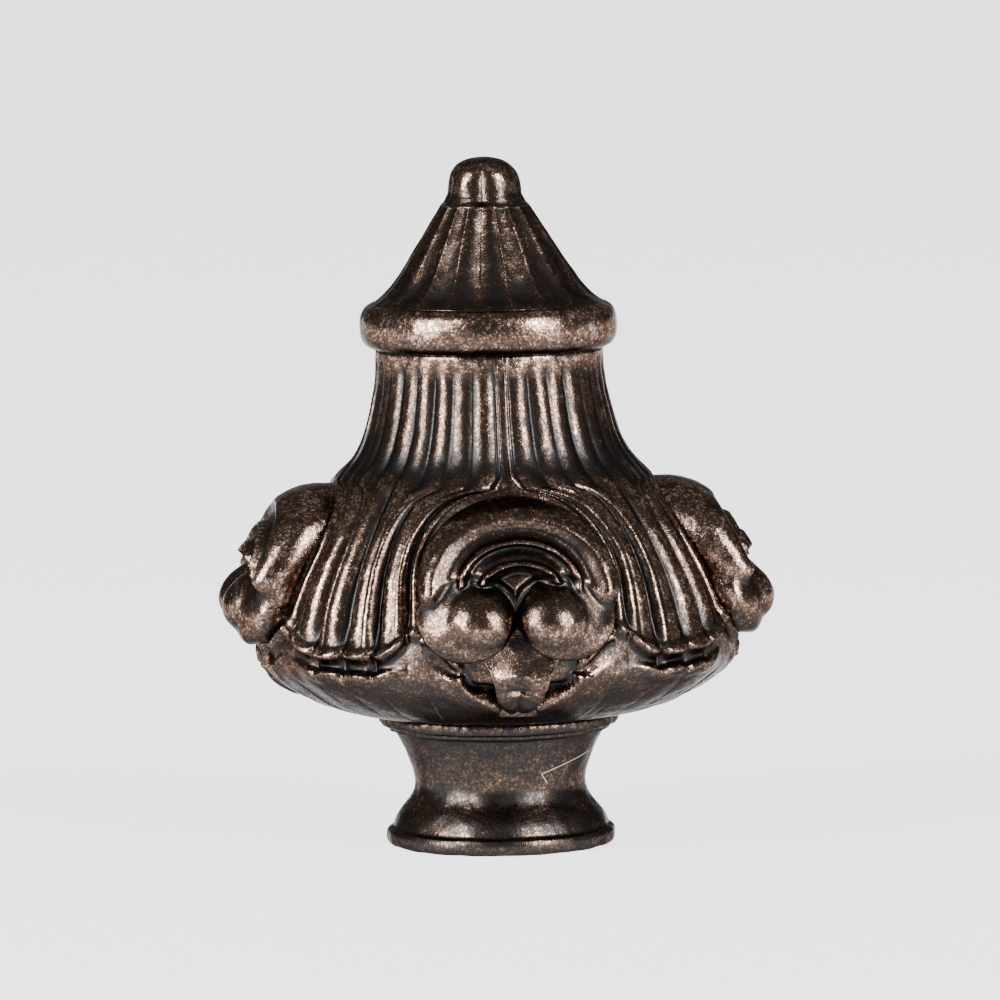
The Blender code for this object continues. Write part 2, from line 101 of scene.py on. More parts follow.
def spaced(count: int, crowding: Crowding = Crowding.EVEN) -> Array:
    """Shares from 0 up to, but not reaching, 1.

    Args:
        count: How many shares.
        crowding: Which end they gather at.

    Returns:
        Rising shares: t, its half cosine or 1 - (1 - t)^1.6.
    """
    share = np.arange(count) / count
    if crowding is Crowding.ENDS:
        return 0.5 - 0.5 * np.cos(math.pi * share)
    if crowding is Crowding.END:
        return 1.0 - (1.0 - share) ** 1.6
    return share


def softly_higher(first: Array, second: Array, blend: Array) -> Array:
    """The higher of two heights, rounded where they meet: half of their sum plus root(gap^2 + blend^2)."""
    return 0.5 * (first + second + np.sqrt((first - second) ** 2 + blend ** 2))


def round_angles(columns: int) -> Array:
    """Angles of evenly spaced columns round the axis, as one row."""
    return (np.arange(columns) * TURN / columns)[None, :]


def lid(first: float, last: float, height: float) -> tuple[Array, Array]:
    """Radii and heights of a flat lid that runs from one radius to another."""
    return np.linspace(first, last, LID_ROWS), np.full(LID_ROWS, height)


def joined(*stretches: tuple[Array, Array]) -> tuple[Array, Array]:
    """Stretches of profile, one after the other.

    Args:
        stretches: Radii and heights of each stretch.

    Returns:
        Radii and heights of the whole, each as one column.
    """
    radii, heights = ([np.ravel(value) for value in values] for values in zip(*stretches))
    return np.concatenate(radii)[:, None], np.concatenate(heights)[:, None]


@dataclass(frozen=True)
class Turning:
    """Heights and radii of the turned stages, from the table up, in metres."""

    foot_lip: float = 1.3 * MM
    scotia: float = 7.3 * MM
    collar: float = 1.4 * MM
    bowl: float = 4.4 * MM
    belly: float = 13.8 * MM
    neck: float = 8.7 * MM
    ring: float = 3.4 * MM
    cone: float = 7.2 * MM
    knob: float = 3.5 * MM
    foot_radius: float = 8.5 * MM
    foot_fillet_radius: float = 8.05 * MM
    waist_radius: float = 6.35 * MM
    scotia_top_radius: float = 7.9 * MM
    collar_radius: float = 8.9 * MM
    bowl_foot_radius: float = 9.9 * MM
    belly_radius: float = 18.1 * MM
    shoulder_radius: float = 11.1 * MM
    neck_radius: float = 8.45 * MM
    ring_radius: float = 9.56 * MM
    ring_root_radius: float = 8.1 * MM
    cone_foot_radius: float = 8.5 * MM
    cone_top_radius: float = 3.3 * MM
    cone_flare: float = 0.7 * MM
    knob_radius: float = 2.9 * MM
    neck_curve: float = 1.6
    neck_flare: float = 0.32
    neck_flare_curve: float = 8.0
    belly_curve: float = 2.1
    bowl_curve: float = 1.5

    @property
    def collar_z(self) -> float:
        """Height of the collar's foot."""
        return self.foot_lip + self.scotia

    @property
    def bowl_z(self) -> float:
        """Height of the bowl's foot."""
        return self.collar_z + self.collar

    @property
    def hem_z(self) -> float:
        """Height of the hem, where the belly turns under."""
        return self.bowl_z + self.bowl

    @property
    def shoulder_z(self) -> float:
        """Height of the shoulder, where the neck meets the belly."""
        return self.hem_z + self.belly

    @property
    def neck_top_z(self) -> float:
        """Height of the neck's top, under the bead."""
        return self.shoulder_z + self.neck

    @property
    def cone_z(self) -> float:
        """Height of the cone's foot, on the bead."""
        return self.neck_top_z + self.ring

    @property
    def knob_z(self) -> float:
        """Height of the knob's rim."""
        return self.cone_z + self.cone

    @property
    def top_z(self) -> float:
        """Height of the whole finial."""
        return self.knob_z + self.knob

    def body_radius(self, height: Array) -> Array:
        """Plain radius of neck and belly.

        The neck spreads by 0.68 t^1.6 + 0.32 t^8 of its whole spread, with t counted down from the bead.
        The belly narrows by t^2.1 of its whole narrowing, with t counted up from the hem.

        Args:
            height: Heights above the table.

        Returns:
            Radii.
        """
        height = np.asarray(height, dtype=float)
        down = np.clip((self.neck_top_z - height) / self.neck, 0.0, 1.0)
        spread = mix(down ** self.neck_curve, down ** self.neck_flare_curve, self.neck_flare)
        neck = mix(self.neck_radius, self.shoulder_radius, spread)
        up = np.clip((height - self.hem_z) / self.belly, 0.0, 1.0)
        belly = mix(self.belly_radius, self.shoulder_radius, up ** self.belly_curve)
        return np.where(height >= self.shoulder_z, neck, belly)

    def bowl_point(self, share: Array) -> tuple[Array, Array]:
        """Radius and height on the underside, an oval of power 1.5.

        Args:
            share: Shares of the way from the hem (0) in to the collar (1).

        Returns:
            Radii and heights.
        """
        across = np.clip(1.0 - np.asarray(share, dtype=float), 0.0, 1.0)
        drop = (1.0 - across ** self.bowl_curve) ** (1.0 / self.bowl_curve)
        return mix(self.bowl_foot_radius, self.belly_radius, across), self.hem_z - self.bowl * drop

    def under_path(self, distance: Array, above: float) -> tuple[Array, Array]:
        """Place on a path that runs down to the hem and then in along the bowl.

        Args:
            distance: Distances along the path.
            above: Height above the hem at which it starts.

        Returns:
            Radii and heights.
        """
        belly_height = self.hem_z + above - distance
        share = (distance - above) / (self.belly_radius - self.bowl_foot_radius)
        radius, height = self.bowl_point(share)
        upper = distance < above
        return np.where(upper, self.body_radius(belly_height), radius), np.where(upper, belly_height, height)


@dataclass(frozen=True)
class CastSkin:
    """Unevenness that a casting keeps: a lean, and a sum of slow sine waves in seeded directions."""

    tall: float
    seed: int = 7
    waves: int = 14
    shortest: float = 0.9 * MM
    longest: float = 5.0 * MM
    height: float = 0.030 * MM
    long_wave_gain: float = 0.35
    lean: float = -0.65 * MM
    lean_curve: float = 1.5

    def bent(self, points: Array) -> Array:
        """Shift points sideways by lean times (height / whole height)^1.5, as a casting cools askew.

        Args:
            points: Places, with x, y and z last.

        Returns:
            The shifted places.
        """
        bent = points.copy()
        bent[..., 0] += self.lean * np.clip(points[..., 2] / self.tall, 0.0, 1.0) ** self.lean_curve
        return bent

    def at(self, points: Array) -> Array:
        """Height of the unevenness: the mean of sines of (direction . point) / wavelength + phase.

        Args:
            points: Places, with x, y and z last.

        Returns:
            Heights, to be added along the surface's normal.
        """
        rng = np.random.default_rng(self.seed)
        total = np.zeros(points.shape[:-1])
        for _ in range(self.waves):
            direction = rng.normal(size=3)
            direction /= np.linalg.norm(direction)
            length = self.shortest * (self.longest / self.shortest) ** rng.random()
            phase = rng.random() * TURN
            gain = (length / self.longest) ** self.long_wave_gain
            total += gain * np.sin(points @ direction * (TURN / length) + phase)
        return self.height * total / math.sqrt(self.waves)


class Grid:
    """A surface worked out on rows and columns, closed round its columns and at both poles."""

    HOLLOW_REACHES = ((2, 0.8), (5, 0.6), (10, 0.4))

    def __init__(self, points: Array) -> None:
        """Keep the points.

        Args:
            points: Rows by columns by x, y, z, from the top down and round from the front towards +X.
        """
        self.points = points

    def normals(self) -> Array:
        """Unit normals: the cross product of the steps along a column and along a row.

        Returns:
            Rows by columns by x, y, z.
        """
        down = np.gradient(self.points, axis=0)
        along = np.roll(self.points, -1, axis=1) - np.roll(self.points, 1, axis=1)
        normal = np.cross(down, along)
        return normal / np.maximum(np.linalg.norm(normal, axis=-1, keepdims=True), 1e-12)

    def raised(self, amount: Array) -> "Grid":
        """The same surface moved along its normals by an amount at each point."""
        return Grid(self.points + self.normals() * np.asarray(amount)[..., None])

    def blurred(self, values: Array, reach: int) -> Array:
        """Mean over a window of 2 reach + 1 rows and columns, from running sums.

        Args:
            values: Values at the grid's points.
            reach: Rows and columns taken in on each side.

        Returns:
            The means.
        """
        result = values
        for axis, mode in ((0, "edge"), (1, "wrap")):
            width = [(0, 0)] * result.ndim
            width[axis] = (reach + 1, reach)
            padded = np.cumsum(np.pad(result, width, mode=mode), axis=axis)
            window = 2 * reach + 1
            ahead = np.take(padded, np.arange(window, padded.shape[axis]), axis=axis)
            behind = np.take(padded, np.arange(0, padded.shape[axis] - window), axis=axis)
            result = (ahead - behind) / window
        return result

    def hollows(self) -> Array:
        """Depth below the mean of the surroundings, a weighted sum over near and far reaches.

        Returns:
            Depths in millimetres, below zero on a crest.
        """
        normal = self.normals()
        depth = np.zeros(self.points.shape[:2])
        for reach, weight in self.HOLLOW_REACHES:
            offset = self.blurred(self.points, reach) - self.points
            depth += weight * np.einsum("rck,rck->rc", offset, normal)
        return depth / MM

    def mesh(self, name: str) -> bpy.types.Mesh:
        """Put the surface in a mesh: quads between the rows and a fan on each end row.

        Args:
            name: Name of the mesh.

        Returns:
            A smooth mesh with the attributes "hollow", a depth, and "under", how far it faces down, which the
            finish darkens as painted shade.
        """
        rows, columns, _ = self.points.shape
        index = np.arange(rows * columns).reshape(rows, columns)
        after = np.roll(index, -1, axis=1)
        quads = np.stack([index[:-1], index[1:], after[1:], after[:-1]], axis=-1).reshape(-1, 4)
        top = np.full(columns, rows * columns)
        bottom = top + 1
        fan = np.stack([top, index[0], after[0]], axis=-1)
        lower_fan = np.stack([bottom, after[-1], index[-1]], axis=-1)
        poles = np.stack([self.points[0].mean(axis=0), self.points[-1].mean(axis=0)])
        corners = np.concatenate([self.points.reshape(-1, 3), poles])
        mesh = bpy.data.meshes.new(name)
        mesh.from_pydata(corners.tolist(), [], quads.tolist() + fan.tolist() + lower_fan.tolist())
        hollow = self.hollows()
        # How far each point faces down; the finish darkens these surfaces as painted shade.
        facing = np.clip(-self.normals()[..., 2], 0.0, 1.0)
        for key, values, at_poles in (
            ("hollow", hollow, [hollow[0].mean(), hollow[-1].mean()]),
            ("under", facing, [0.0, 1.0]),
        ):
            data = np.concatenate([values.ravel(), at_poles]).astype(np.float32)
            mesh.attributes.new(key, "FLOAT", "POINT").data.foreach_set("value", data)
        mesh.shade_smooth()
        mesh.update()
        return mesh


def on_round(angle: Array, radius: Array, height: Array) -> Array:
    """Points round the axis: (r sin a, -r cos a, z).

    Args:
        angle: Angles counted from the front (-Y) towards +X.
        radius: Distances from the axis.
        height: Heights above the table.

    Returns:
        Points, with x, y and z last.
    """
    angle, radius, height = np.broadcast_arrays(angle, radius, height)
    return np.stack([radius * np.sin(angle), -radius * np.cos(angle), height], axis=-1)


class Value:
    """A shader socket that takes part in Python arithmetic, adding a Math node for each step."""

    def __init__(self, shading: "Shading", socket: Any) -> None:
        """Wrap a socket of a shading's tree."""
        self.shading = shading
        self.socket = socket

    def _math(self, operation: str, first: Any, second: Any) -> "Value":
        """Add one Math node and hand back its output."""
        return self.shading.node("ShaderNodeMath", {"operation": operation}, {0: first, 1: second})

    def __add__(self, other: Any) -> "Value":
        """Sum."""
        return self._math("ADD", self, other)

    __radd__ = __add__

    def __sub__(self, other: Any) -> "Value":
        """Difference."""
        return self._math("SUBTRACT", self, other)

    def __rsub__(self, other: Any) -> "Value":
        """Reflected difference."""
        return self._math("SUBTRACT", other, self)

    def __mul__(self, other: Any) -> "Value":
        """Product."""
        return self._math("MULTIPLY", self, other)

    __rmul__ = __mul__

    def __truediv__(self, other: Any) -> "Value":
        """Quotient."""
        return self._math("DIVIDE", self, other)

    def __rtruediv__(self, other: Any) -> "Value":
        """Reflected quotient."""
        return self._math("DIVIDE", other, self)

    def __neg__(self) -> "Value":
        """Opposite."""
        return self._math("MULTIPLY", self, -1.0)

    def step(self, low: float, high: float) -> "Value":
        """Smooth step.

        Args:
            low: Value at which the step is 0.
            high: Value at which the step is 1.

        Returns:
            A value from 0 to 1.
        """
        settings = {"interpolation_type": "SMOOTHSTEP"}
        sockets = {"Value": self, "From Min": low, "From Max": high}
        return self.shading.node("ShaderNodeMapRange", settings, sockets, "Result")


class Shading:
    """A material's node tree, built node by node."""

    def __init__(self, name: str) -> None:
        """Start a material with only its output and its principled shader."""
        self.material = bpy.data.materials.new(name)
        self.material.use_nodes = True
        self.tree = self.material.node_tree
        self.shader = self.tree.nodes["Principled BSDF"]

    def node(self, kind: str, settings: dict, sockets: dict, output: Any = 0) -> Value:
        """Add a node.

        Args:
            kind: Type of the node.
            settings: Its own settings, set first.
            sockets: Values or links of its input sockets.
            output: Output socket to hand back.

        Returns:
            The wrapped output.
        """
        item = self.tree.nodes.new(kind)
        for key, setting in settings.items():
            setattr(item, key, setting)
        for key, given in sockets.items():
            self.feed(item.inputs[key], given)
        return Value(self, item.outputs[output])

    def feed(self, socket: Any, given: Any) -> None:
        """Link a wrapped socket to an input, or set the input's own value.

        Args:
            socket: Input socket.
            given: Wrapped output, or a number, colour or vector.
        """
        if isinstance(given, Value):
            self.tree.links.new(given.socket, socket)
        else:
            socket.default_value = given

    def place(self) -> Value:
        """Object coordinates."""
        return self.node("ShaderNodeTexCoord", {}, {}, "Object")

    def along(self, axis: str) -> Value:
        """Object coordinate along "X", "Y" or "Z"."""
        return self.node("ShaderNodeSeparateXYZ", {}, {"Vector": self.place()}, axis)

    def attribute(self, name: str) -> Value:
        """Value of a mesh attribute."""
        return self.node("ShaderNodeAttribute", {"attribute_name": name}, {}, "Fac")

    def noise(self, size: float, detail: float, rough: float, warp: float = 0.0) -> Value:
        """Noise in object coordinates.

        Args:
            size: Rough width of its lumps.
            detail: Octaves.
            rough: Strength of each octave against the one before.
            warp: Distortion.

        Returns:
            A value from 0 to 1.
        """
        sockets = {"Vector": self.place(), "Scale": 1.0 / size, "Detail": detail}
        sockets.update({"Roughness": rough, "Distortion": warp})
        return self.node("ShaderNodeTexNoise", {}, sockets, "Fac")

    def cells(self, size: float, feature: str) -> Value:
        """Distance in a cell pattern.

        Args:
            size: Rough width of its cells.
            feature: "F1" for the distance to a cell's middle, "DISTANCE_TO_EDGE" for that to its edge.

        Returns:
            Distances as shares of a cell.
        """
        sockets = {"Vector": self.place(), "Scale": 1.0 / size}
        return self.node("ShaderNodeTexVoronoi", {"feature": feature}, sockets, "Distance")

    def colours(self, first: Any, second: Any, share: Any) -> Value:
        """Blend of two colours, by the Mix node's colour sockets."""
        return self.node("ShaderNodeMix", {"data_type": "RGBA"}, {0: share, 6: first, 7: second}, 2)


@dataclass(frozen=True)
class OilRubbedBronze:
    """Dark brown patina over copper-brown metal, worn on the crests and black in the hollows."""

    soot: tuple = (0.020, 0.019, 0.019, 1.0)
    umber: tuple = (0.040, 0.030, 0.025, 1.0)
    copper: tuple = (0.112, 0.066, 0.044, 1.0)
    worn: tuple = (0.40, 0.32, 0.28, 1.0)
    edge_tint: tuple = (0.46, 0.45, 0.45, 1.0)
    mottle_size: float = 1.5 * MM
    fleck_size: float = 0.34 * MM
    grain_size: float = 0.14 * MM
    gloss: float = 0.17
    dullness: float = 0.38
    grain_height: float = 0.020 * MM
    # Crests below this height, on the collar bead and the foot, lose wear and so stay darker towards the
    # bottom.
    low_crest_below: float = 9.3 * MM
    low_crest_fade: float = 0.6 * MM
    mottle_weight: float = 0.50
    fleck_weight: float = 0.85
    grain_weight: float = 0.45
    crest_wear: float = 0.13
    low_crest_wear: float = -0.07
    hollow_dirt: float = 0.20
    # Painted shade on surfaces that face down: how much wear they lose, so their colour darkens.
    painted_under_shade: float = 0.16
    crackle_dirt: float = 0.12
    crackle_edge: float = 0.22
    hollow_steps: tuple = (0.01, 0.20)
    crest_steps: tuple = (0.0, 0.12)
    hollow_soot: float = 0.5
    # Painted shade on surfaces that face down: how far they are blended towards soot.
    painted_under_shade_tint: float = 0.65
    wear_steps: tuple = (0.68, 0.82, 0.98, 1.17)
    polish_steps: tuple = (0.62, 0.95)
    scratch: tuple = ((6.3 * MM, 7.0 * MM), (2.45 * MM, 5.75 * MM), (2.9 * MM, 5.0 * MM))
    scratch_width: float = 0.055 * MM
    scratch_tint: tuple = (0.42, 0.37, 0.33, 1.0)

    def stroke(self, across: Value, rise: Value, start: tuple, end: tuple) -> Value:
        """Fine straight line, worked out from the distances beside and along it.

        Args:
            across: Place along x.
            rise: Place along z.
            start: One end, as x and z.
            end: Other end, as x and z.

        Returns:
            1 on the line, 0 away from it.
        """
        run, climb = end[0] - start[0], end[1] - start[1]
        length = math.hypot(run, climb)
        along = ((across - start[0]) * run + (rise - start[1]) * climb) / length
        beside = ((across - start[0]) * climb - (rise - start[1]) * run) / length
        width = self.scratch_width
        line = (beside + width).step(0.0, width) * (width - beside).step(0.0, width)
        return line * along.step(-width, width) * (length - along).step(-width, width)

    def scored(self, look: Shading) -> Value:
        """The bent scratch on the front of the foot, 1 on its lines and 0 elsewhere.

        Args:
            look: Shading to add it to.

        Returns:
            The share of the scratch's tint.
        """
        across, rise = look.along("X"), look.along("Z")
        outer, bend, inner = self.scratch
        strokes = self.stroke(across, rise, outer, bend) + self.stroke(across, rise, bend, inner)
        return strokes * (-look.along("Y")).step(0.0, 1.0 * MM)

    def material(self) -> bpy.types.Material:
        """Build the finish.

        Wear is a sum of three noises, plus what the crests gain, less what the hollows and the cracks of the
        patina keep and less a painted shade on surfaces that face down. As it rises, soot gives way to umber,
        copper and worn metal. Surfaces that face down are blended further towards soot, also as painted
        shade.

        Returns:
            A material that reads object coordinates and the attributes "hollow" and "under".
        """
        look = Shading("antique_bronze")
        hollow, under = look.attribute("hollow"), look.attribute("under")
        mottle = look.noise(self.mottle_size, 5.0, 0.62, 0.4)
        fleck = look.noise(self.fleck_size, 4.0, 0.68, 0.9)
        grain = look.noise(self.grain_size, 2.0, 0.6)
        crust = look.cells(1.6 * self.fleck_size, "F1")
        crackle = 1.0 - look.cells(1.1 * self.fleck_size, "DISTANCE_TO_EDGE").step(0.0, self.crackle_edge)
        deep = hollow.step(*self.hollow_steps)
        # Crests below 9.3 mm, on the collar bead and the foot, lose wear instead of gaining it, so these
        # parts stay darker towards the bottom.
        upper_crest_share = look.along("Z").step(self.low_crest_below, self.low_crest_below + self.low_crest_fade)
        gain = self.low_crest_wear + (self.crest_wear - self.low_crest_wear) * upper_crest_share
        crest = gain * (-hollow).step(*self.crest_steps)
        # Dirt in the hollows and in the cracks of the patina is the finish's own; the share for surfaces that
        # face down is painted shade.
        dirt_and_painted_shade = self.hollow_dirt * deep + self.painted_under_shade * under + self.crackle_dirt * crackle
        noise = self.mottle_weight * mottle + self.fleck_weight * fleck + self.grain_weight * grain
        bare = noise + crest - dirt_and_painted_shade
        colour = self.soot
        tints = (self.umber, self.copper, self.worn)
        for tint, low, high in zip(tints, self.wear_steps, self.wear_steps[1:]):
            colour = look.colours(colour, tint, bare.step(low, high))
        colour = look.colours(colour, self.soot, self.hollow_soot * deep)
        # Painted shade: surfaces that face down are blended towards soot.
        colour = look.colours(colour, self.soot, self.painted_under_shade_tint * under.step(0.0, 0.8))
        colour = look.colours(colour, self.scratch_tint, self.scored(look))
        rough = self.dullness - (self.dullness - self.gloss) * bare.step(*self.polish_steps)
        relief = 0.6 * grain + fleck + 0.4 * crust
        sockets = {"Strength": 1.0, "Distance": self.grain_height, "Height": relief}
        look.feed(look.shader.inputs["Base Color"], colour)
        look.feed(look.shader.inputs["Roughness"], rough)
        look.feed(look.shader.inputs["Normal"], look.node("ShaderNodeBump", {}, sockets, "Normal"))
        look.shader.inputs["Metallic"].default_value = 1.0
        look.shader.inputs["Specular Tint"].default_value = self.edge_tint
        return look.material


@dataclass
class Part:
    """A sub-assembly that makes named pieces from the turned sizes, the casting's skin and the finish."""

    turning: Turning
    skin: CastSkin
    finish: bpy.types.Material

    def piece(self, name: str, grid: Grid) -> bpy.types.Object:
        """Make a piece from a surface, dress it and tie it to the casting.

        Args:
            name: Name of the piece.
            grid: Its surface, before the casting's unevenness.

        Returns:
            The piece, riding on the body and standing for the casting.
        """
        uneven = grid.raised(self.skin.at(grid.points))
        item = bpy.data.objects.new(name, Grid(self.skin.bent(uneven.points)).mesh(name))
        bpy.context.scene.collection.objects.link(item)
        item.data.materials.append(self.finish)
        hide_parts(NODE)
        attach(item, BODY)
        LOG.info("%s: %d faces", name, len(item.data.polygons))
        return item


@dataclass
class FlutedCap(Part):
    """Bud-shaped knob, fluted cone and the bead under it."""

    columns: int = 320
    dome_count: int = 34
    rim_count: int = 14
    taper_count: int = 46
    ring_count: int = 40
    flutes: int = 20
    flute_depth: float = 0.27 * MM
    flute_fading: float = 0.45
    flute_sway: float = 0.14
    sways: int = 3
    lobes: int = 5
    lobe_depth: float = 0.38 * MM
    lobe_turn: float = math.radians(-10.0)
    lobe_end: float = 0.4 * MM
    lobe_fade: float = 1.9 * MM
    groove_curve: float = 0.7
    bluntness: float = 0.8
    rim_curve: float = 3.0
    flare_curve: float = 8.0
    dome_inset: float = 0.1 * MM
    rim_height: float = 0.75 * MM
    rim_roll: float = 0.07 * MM

    def knob_rows(self) -> tuple[Array, Array]:
        """Blunt dome, R sin^0.8 across and H cos^0.8 up, then a slight rim that flares out by t^3.

        Returns:
            Radii and heights.
        """
        size = self.turning
        angle = 0.5 * math.pi * spaced(self.dome_count)[1:]
        radius = (size.knob_radius - self.dome_inset) * np.sin(angle) ** self.bluntness
        height = size.top_z - (size.knob - self.rim_height) * (1.0 - np.cos(angle) ** self.bluntness)
        share = spaced(self.rim_count)
        roll = self.rim_roll * (2.0 * np.sin(math.pi * share) - 1.0)
        flare = (size.cone_top_radius - size.knob_radius + self.rim_roll) * share ** self.rim_curve
        rim_height = size.knob_z + 0.98 * self.rim_height * (1.0 - share)
        return joined((radius, height), (size.knob_radius + roll + flare, rim_height))

    def cone_rows(self) -> tuple[Array, Array]:
        """Straight taper plus a flare of t^8, with t counted down from the knob.

        Returns:
            Radii and heights.
        """
        size = self.turning
        share = spaced(self.taper_count, Crowding.ENDS)
        taper = (size.cone_foot_radius - size.cone_top_radius - size.cone_flare) * share
        radius = size.cone_top_radius + taper + size.cone_flare * share ** self.flare_curve
        return radius, size.knob_z - size.cone * share

    def ring_rows(self) -> tuple[Array, Array]:
        """Oval bead: radius by sin^0.8 and height by cos^0.8 of half a turn, then in under the neck.

        Returns:
            Radii and heights.
        """
        size = self.turning
        angle = math.pi * np.linspace(0.06, 0.97, self.ring_count)
        radius = mix(size.ring_root_radius, size.ring_radius, np.sin(angle) ** self.bluntness)
        height = size.cone_z - 0.5 * size.ring * (1.0 - signed_power(np.cos(angle), self.bluntness))
        inside = lid(size.ring_root_radius - 0.3 * MM, 0.3 * MM, size.neck_top_z + 0.1 * MM)
        return joined((radius, height), inside)

    def build(self) -> bpy.types.Object:
        """Join the three profiles and carve lobes and flutes into them.

        The knob's lobes are parted by grooves of depth 1 - |sin(n a / 2)|^0.7. A flute is hollow, 1 - x^2
        over its width, so that two flutes meet in a sharp edge. Their widths sway three times in a turn.

        Returns:
            The piece.
        """
        size = self.turning
        radius, height = joined(self.knob_rows(), self.cone_rows(), self.ring_rows())
        angle = round_angles(self.columns)
        lobed = 1.0 - np.abs(np.sin(0.5 * self.lobes * (angle - self.lobe_turn))) ** self.groove_curve
        lobed = lobed * ease(size.knob_z, size.knob_z + self.lobe_end, height)
        lobed = lobed * (1.0 - ease(size.top_z - self.lobe_fade, size.top_z - self.lobe_end, height))
        count = angle * self.flutes / TURN + self.flute_sway * np.sin(self.sways * angle + 1.0)
        across = np.mod(count + 0.5, 1.0) * 2.0 - 1.0
        share = (height - size.cone_z) / size.cone
        on_cone = ease(-0.01, 0.10, share) * (1.0 - ease(0.985, 1.0, share))
        on_cone = on_cone * (1.0 - self.flute_fading * np.clip(share, 0.0, 1.0))
        cut = self.lobe_depth * lobed + self.flute_depth * on_cone * (1.0 - across ** 2)
        return self.piece("fluted_cap", Grid(on_round(angle, radius - cut, height)))


@dataclass
class ReededBody(Part):
    """Reeded neck, gadrooned belly, scalloped hem and the bowl under it."""

    seed: int = 31
    neck_count: int = 34
    belly_count: int = 90
    bowl_count: int = 54
    gap_columns: int = 64
    lobe_columns: int = 12
    lobe_count: int = 10
    pairs: int = 4
    ridge_half_angle: float = math.radians(1.0)
    ridge_width: float = math.radians(2.8)
    cartouche_half_width: float = 7.0 * MM
    cartouche_rise: float = 6.3 * MM
    cartouche_drop: float = 5.2 * MM
    cartouche_above_hem: float = 1.2 * MM
    gap: float = 0.4 * MM
    fillet_share: float = 0.085
    neck_depth: float = 0.36 * MM
    belly_depth: float = 0.85 * MM
    top_fading: float = 0.85
    lip_above_hem: float = 1.25 * MM
    lip_height: float = 0.52 * MM
    lip_half_width: float = 0.8 * MM
    hollow_depth: float = 0.28 * MM
    ridge_height: float = 0.34 * MM
    ridge_half_width: float = 0.55 * MM
    ridge_above_hem: float = -0.05 * MM
    scallop: float = 0.45 * MM
    arch_rise: float = 1.9 * MM
    arch_foot_angle: float = math.radians(13.5)
    arch_top_angle: float = math.radians(22.5)
    arch_angle: float = math.radians(24.0)
    arch_end_angle: float = math.radians(37.0)
    plate_edge_angle: float = math.radians(12.0)
    clear_angle: float = math.radians(16.0)
    strip_angle: float = math.radians(15.5)
    lens_half_angle: float = math.radians(12.5)
    lens_depth: float = 0.42 * MM
    wedge_depth: float = 1.4 * MM
    wedge_width: float = 1.7 * MM
    wedge_lean: float = math.radians(72.0)
    ground_share: float = 0.55
    tongue_half_width: float = 3.1 * MM
    tongue_tip_half_width: float = 1.15 * MM
    petal_depth: float = 0.14 * MM
    lobe_curve: float = 2.6
    lobe_variation: float = 0.3
    scallop_variation: float = 0.25
    ripple: float = 0.25 * MM
    ogee_half_width: float = 0.9 * MM
    thin_share: float = 0.36

    @property
    def cartouche_z(self) -> float:
        """Height of the cartouches' middle."""
        return self.turning.hem_z + self.cartouche_above_hem + self.cartouche_drop

    def rows(self) -> tuple[Array, Array, Array]:
        """Rows of the profile, from the part hidden in the bead down to the collar.

        Returns:
            Radius, height and distance from the hem, which is positive up and negative in along the bowl.
        """
        size = self.turning
        inset, above = np.array([0.4, 0.3, 0.25]) * MM, np.array([1.5, 0.8, 0.2]) * MM
        hidden = (size.neck_radius - inset, size.neck_top_z + above)
        neck = size.neck_top_z - size.neck * spaced(self.neck_count)
        belly = size.shoulder_z - size.belly * spaced(self.belly_count, Crowding.END)
        outside = np.concatenate([neck, belly])
        share = np.linspace(0.0, 1.0, self.bowl_count) ** 1.15
        closing = lid(size.bowl_foot_radius - 0.3 * MM, 0.4 * MM, size.bowl_z)
        shown = (size.body_radius(outside), outside)
        radius, height = joined(hidden, shown, size.bowl_point(share), closing)
        inwards = np.concatenate([share, np.ones(LID_ROWS)])[:, None]
        inwards = inwards * (size.belly_radius - size.bowl_foot_radius)
        return radius, height, np.concatenate([height[:-len(inwards)] - size.hem_z, -inwards])

    def gap_half_angle(self, height: Array) -> Array:
        """Half angle of the gap between panels: thin on the neck, an ogee, then the cartouche's outline.

        Args:
            height: Heights above the table.

        Returns:
            Half angles.
        """
        rise = self.cartouche_rise + self.gap
        level = np.clip((height - self.cartouche_z) / rise, 0.0, 1.0)
        half = (self.cartouche_half_width + self.gap) * np.sqrt(1.0 - level ** 2)
        tip = 1.0 - ease(self.cartouche_z + 0.95 * rise, self.cartouche_z + 1.24 * rise, height)
        half = np.maximum(half, self.ogee_half_width * tip ** 1.5)
        return np.maximum(self.ridge_half_angle, half / self.turning.body_radius(height))

    def lobe_edges(self, opened: Array) -> Array:
        """Where the grooves lie across a panel, as shares of its width.

        On the neck the lobes are alike between two narrow ridges. On the belly they pair up, a wide one
        with a thin one, mirrored about the panel's middle.

        Args:
            opened: How far the panel has closed up round the cartouche, from 0 on the neck to 1.

        Returns:
            Shares with one more axis last, for the edges 0 to 10.
        """
        ridge = self.ridge_width / (0.5 * math.pi)
        neck = np.concatenate([[0.0], np.linspace(ridge, 1.0 - ridge, self.lobe_count - 1), [1.0]])
        pair = (1.0 - 2.0 * self.fillet_share) / self.pairs
        steps = (0.0, self.thin_share, 1.0, 1.0 + self.thin_share)
        half = [0.0] + [self.fillet_share + pair * step for step in steps]
        belly = np.array(half + [0.5] + [1.0 - share for share in reversed(half)])
        return mix(neck, belly, np.asarray(opened)[..., None])

    def groove_depths(self, opened: Array) -> Array:
        """Depth of each groove as a share: much alike on the neck, deep and shallow by turns below.

        Args:
            opened: How far the panel has closed up round the cartouche, from 0 on the neck to 1.

        Returns:
            Shares with one more axis last, for the grooves 0 to 10.
        """
        half = [0.55, 0.75, 0.9, 0.6, 0.95]
        neck = np.array(half + [0.7] + half[::-1])
        belly = np.array([0.8] + [1.0, 0.16] * self.pairs + [1.0, 0.8])
        return mix(neck, belly, np.asarray(opened)[..., None])

